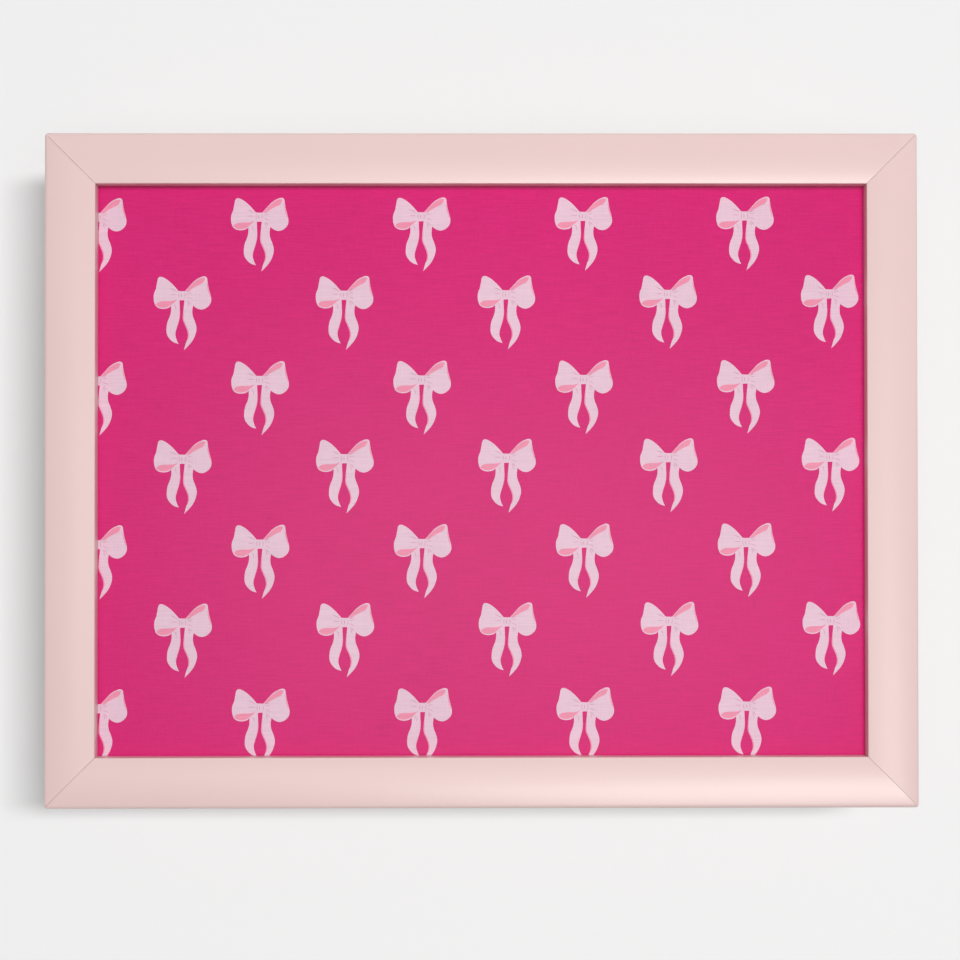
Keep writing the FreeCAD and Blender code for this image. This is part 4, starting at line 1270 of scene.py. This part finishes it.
def seen_directly(nodes):
    """One for rays that show the backdrop: the camera's, and those in gloss and glass."""
    paths = nodes.add("LightPath").outputs
    mirrored = nodes.math("MAXIMUM", paths["Is Glossy Ray"], paths["Is Transmission Ray"])
    return nodes.math("MAXIMUM", paths["Is Camera Ray"], mirrored)


def floor_material(settings):
    """Pale floor that keeps the shadow, shows part of its own colour and is clear from below."""
    material = bpy.data.materials.new("pale floor")
    material.use_nodes = True
    tree = material.node_tree
    tree.nodes.remove(tree.nodes["Principled BSDF"])
    nodes = Nodes(tree)
    backdrop = (*settings.backdrop, 1.0)
    lit = nodes.add("BsdfDiffuse", {"Color": backdrop}).outputs[0]
    glow = nodes.add("Emission", {"Color": backdrop, "Strength": 1.0}).outputs[0]
    share = nodes.math("MULTIPLY", seen_directly(nodes), settings.floor_glow)
    both = nodes.add("MixShader", {0: share, 1: lit, 2: glow}).outputs[0]
    clear = nodes.add("BsdfTransparent").outputs[0]
    below = nodes.add("NewGeometry").outputs["Backfacing"]
    surface = nodes.add("MixShader", {0: below, 1: both, 2: clear}).outputs[0]
    nodes.feed(tree.nodes["Material Output"], {"Surface": surface})
    return material


def sky(settings):
    """Even light from all round, seen as the backdrop's colour."""
    world = bpy.data.worlds.new("studio")
    world.use_nodes = True
    world.node_tree.nodes.clear()
    nodes = Nodes(world.node_tree)
    even = nodes.add("Background", {"Color": (1.0, 1.0, 1.0, 1.0), "Strength": settings.sky})
    seen = nodes.add("Background", {"Color": (*settings.backdrop, 1.0), "Strength": 1.0})
    both = nodes.add(
        "MixShader", {0: seen_directly(nodes), 1: even.outputs[0], 2: seen.outputs[0]})
    nodes.add("OutputWorld", {"Surface": both.outputs[0]})
    return world


class LAPTRAY_OT_stage(bpy.types.Operator):
    """Make the floor, the lamps and the camera"""
    bl_idname = "laptray.stage"
    bl_label = "Stage"

    def execute(self, context):
        scene = context.scene
        settings = scene.lap_tray.stage
        scene.view_settings.view_transform = "Standard"
        bm = bmesh.new()
        bmesh.ops.create_grid(bm, x_segments=1, y_segments=1, size=FLOOR_HALF)
        floor = add_object("floor", bm)
        floor.data.materials.append(floor_material(settings))
        scene.world = sky(settings)
        light_tray(settings, floor, scene.objects)
        camera = bpy.data.cameras.new("camera")
        camera.lens = settings.lens
        camera.sensor_width = SENSOR_WIDTH
        holder = bpy.data.objects.new("camera", camera)
        holder.location = settings.camera_place
        holder.rotation_euler = Euler(settings.camera_turn)
        scene.collection.objects.link(holder)
        scene.camera = holder
        return {"FINISHED"}


class LAPTRAY_PT_panel(bpy.types.Panel):
    """Lists the steps that dress the lap tray"""
    bl_idname = "LAPTRAY_PT_panel"
    bl_label = "Lap tray"
    bl_space_type = "VIEW_3D"
    bl_region_type = "UI"
    bl_category = "Lap tray"

    def draw(self, context):
        for operator in OPERATORS:
            self.layout.operator(operator.bl_idname)


GROUPS = (
    FrameSettings, PrintSettings, CushionSettings, FittingSettings, StageSettings, LapTraySettings)
OPERATORS = (
    LAPTRAY_OT_frame, LAPTRAY_OT_print, LAPTRAY_OT_underside, LAPTRAY_OT_strips,
    LAPTRAY_OT_cushion, LAPTRAY_OT_zip, LAPTRAY_OT_stage)
CLASSES = (*GROUPS, *OPERATORS, LAPTRAY_PT_panel)


def register():
    for item in CLASSES:
        bpy.utils.register_class(item)
    bpy.types.Scene.lap_tray = bpy.props.PointerProperty(type=LapTraySettings)


def unregister():
    del bpy.types.Scene.lap_tray
    for item in reversed(CLASSES):
        bpy.utils.unregister_class(item)


def main():
    register()
    bpy.ops.laptray.frame()
    bpy.ops.laptray.print()
    bpy.ops.laptray.underside()
    bpy.ops.laptray.strips()
    bpy.ops.laptray.cushion()
    bpy.ops.laptray.zip()
    bpy.ops.laptray.stage()


if __name__ == "__main__":
    main()
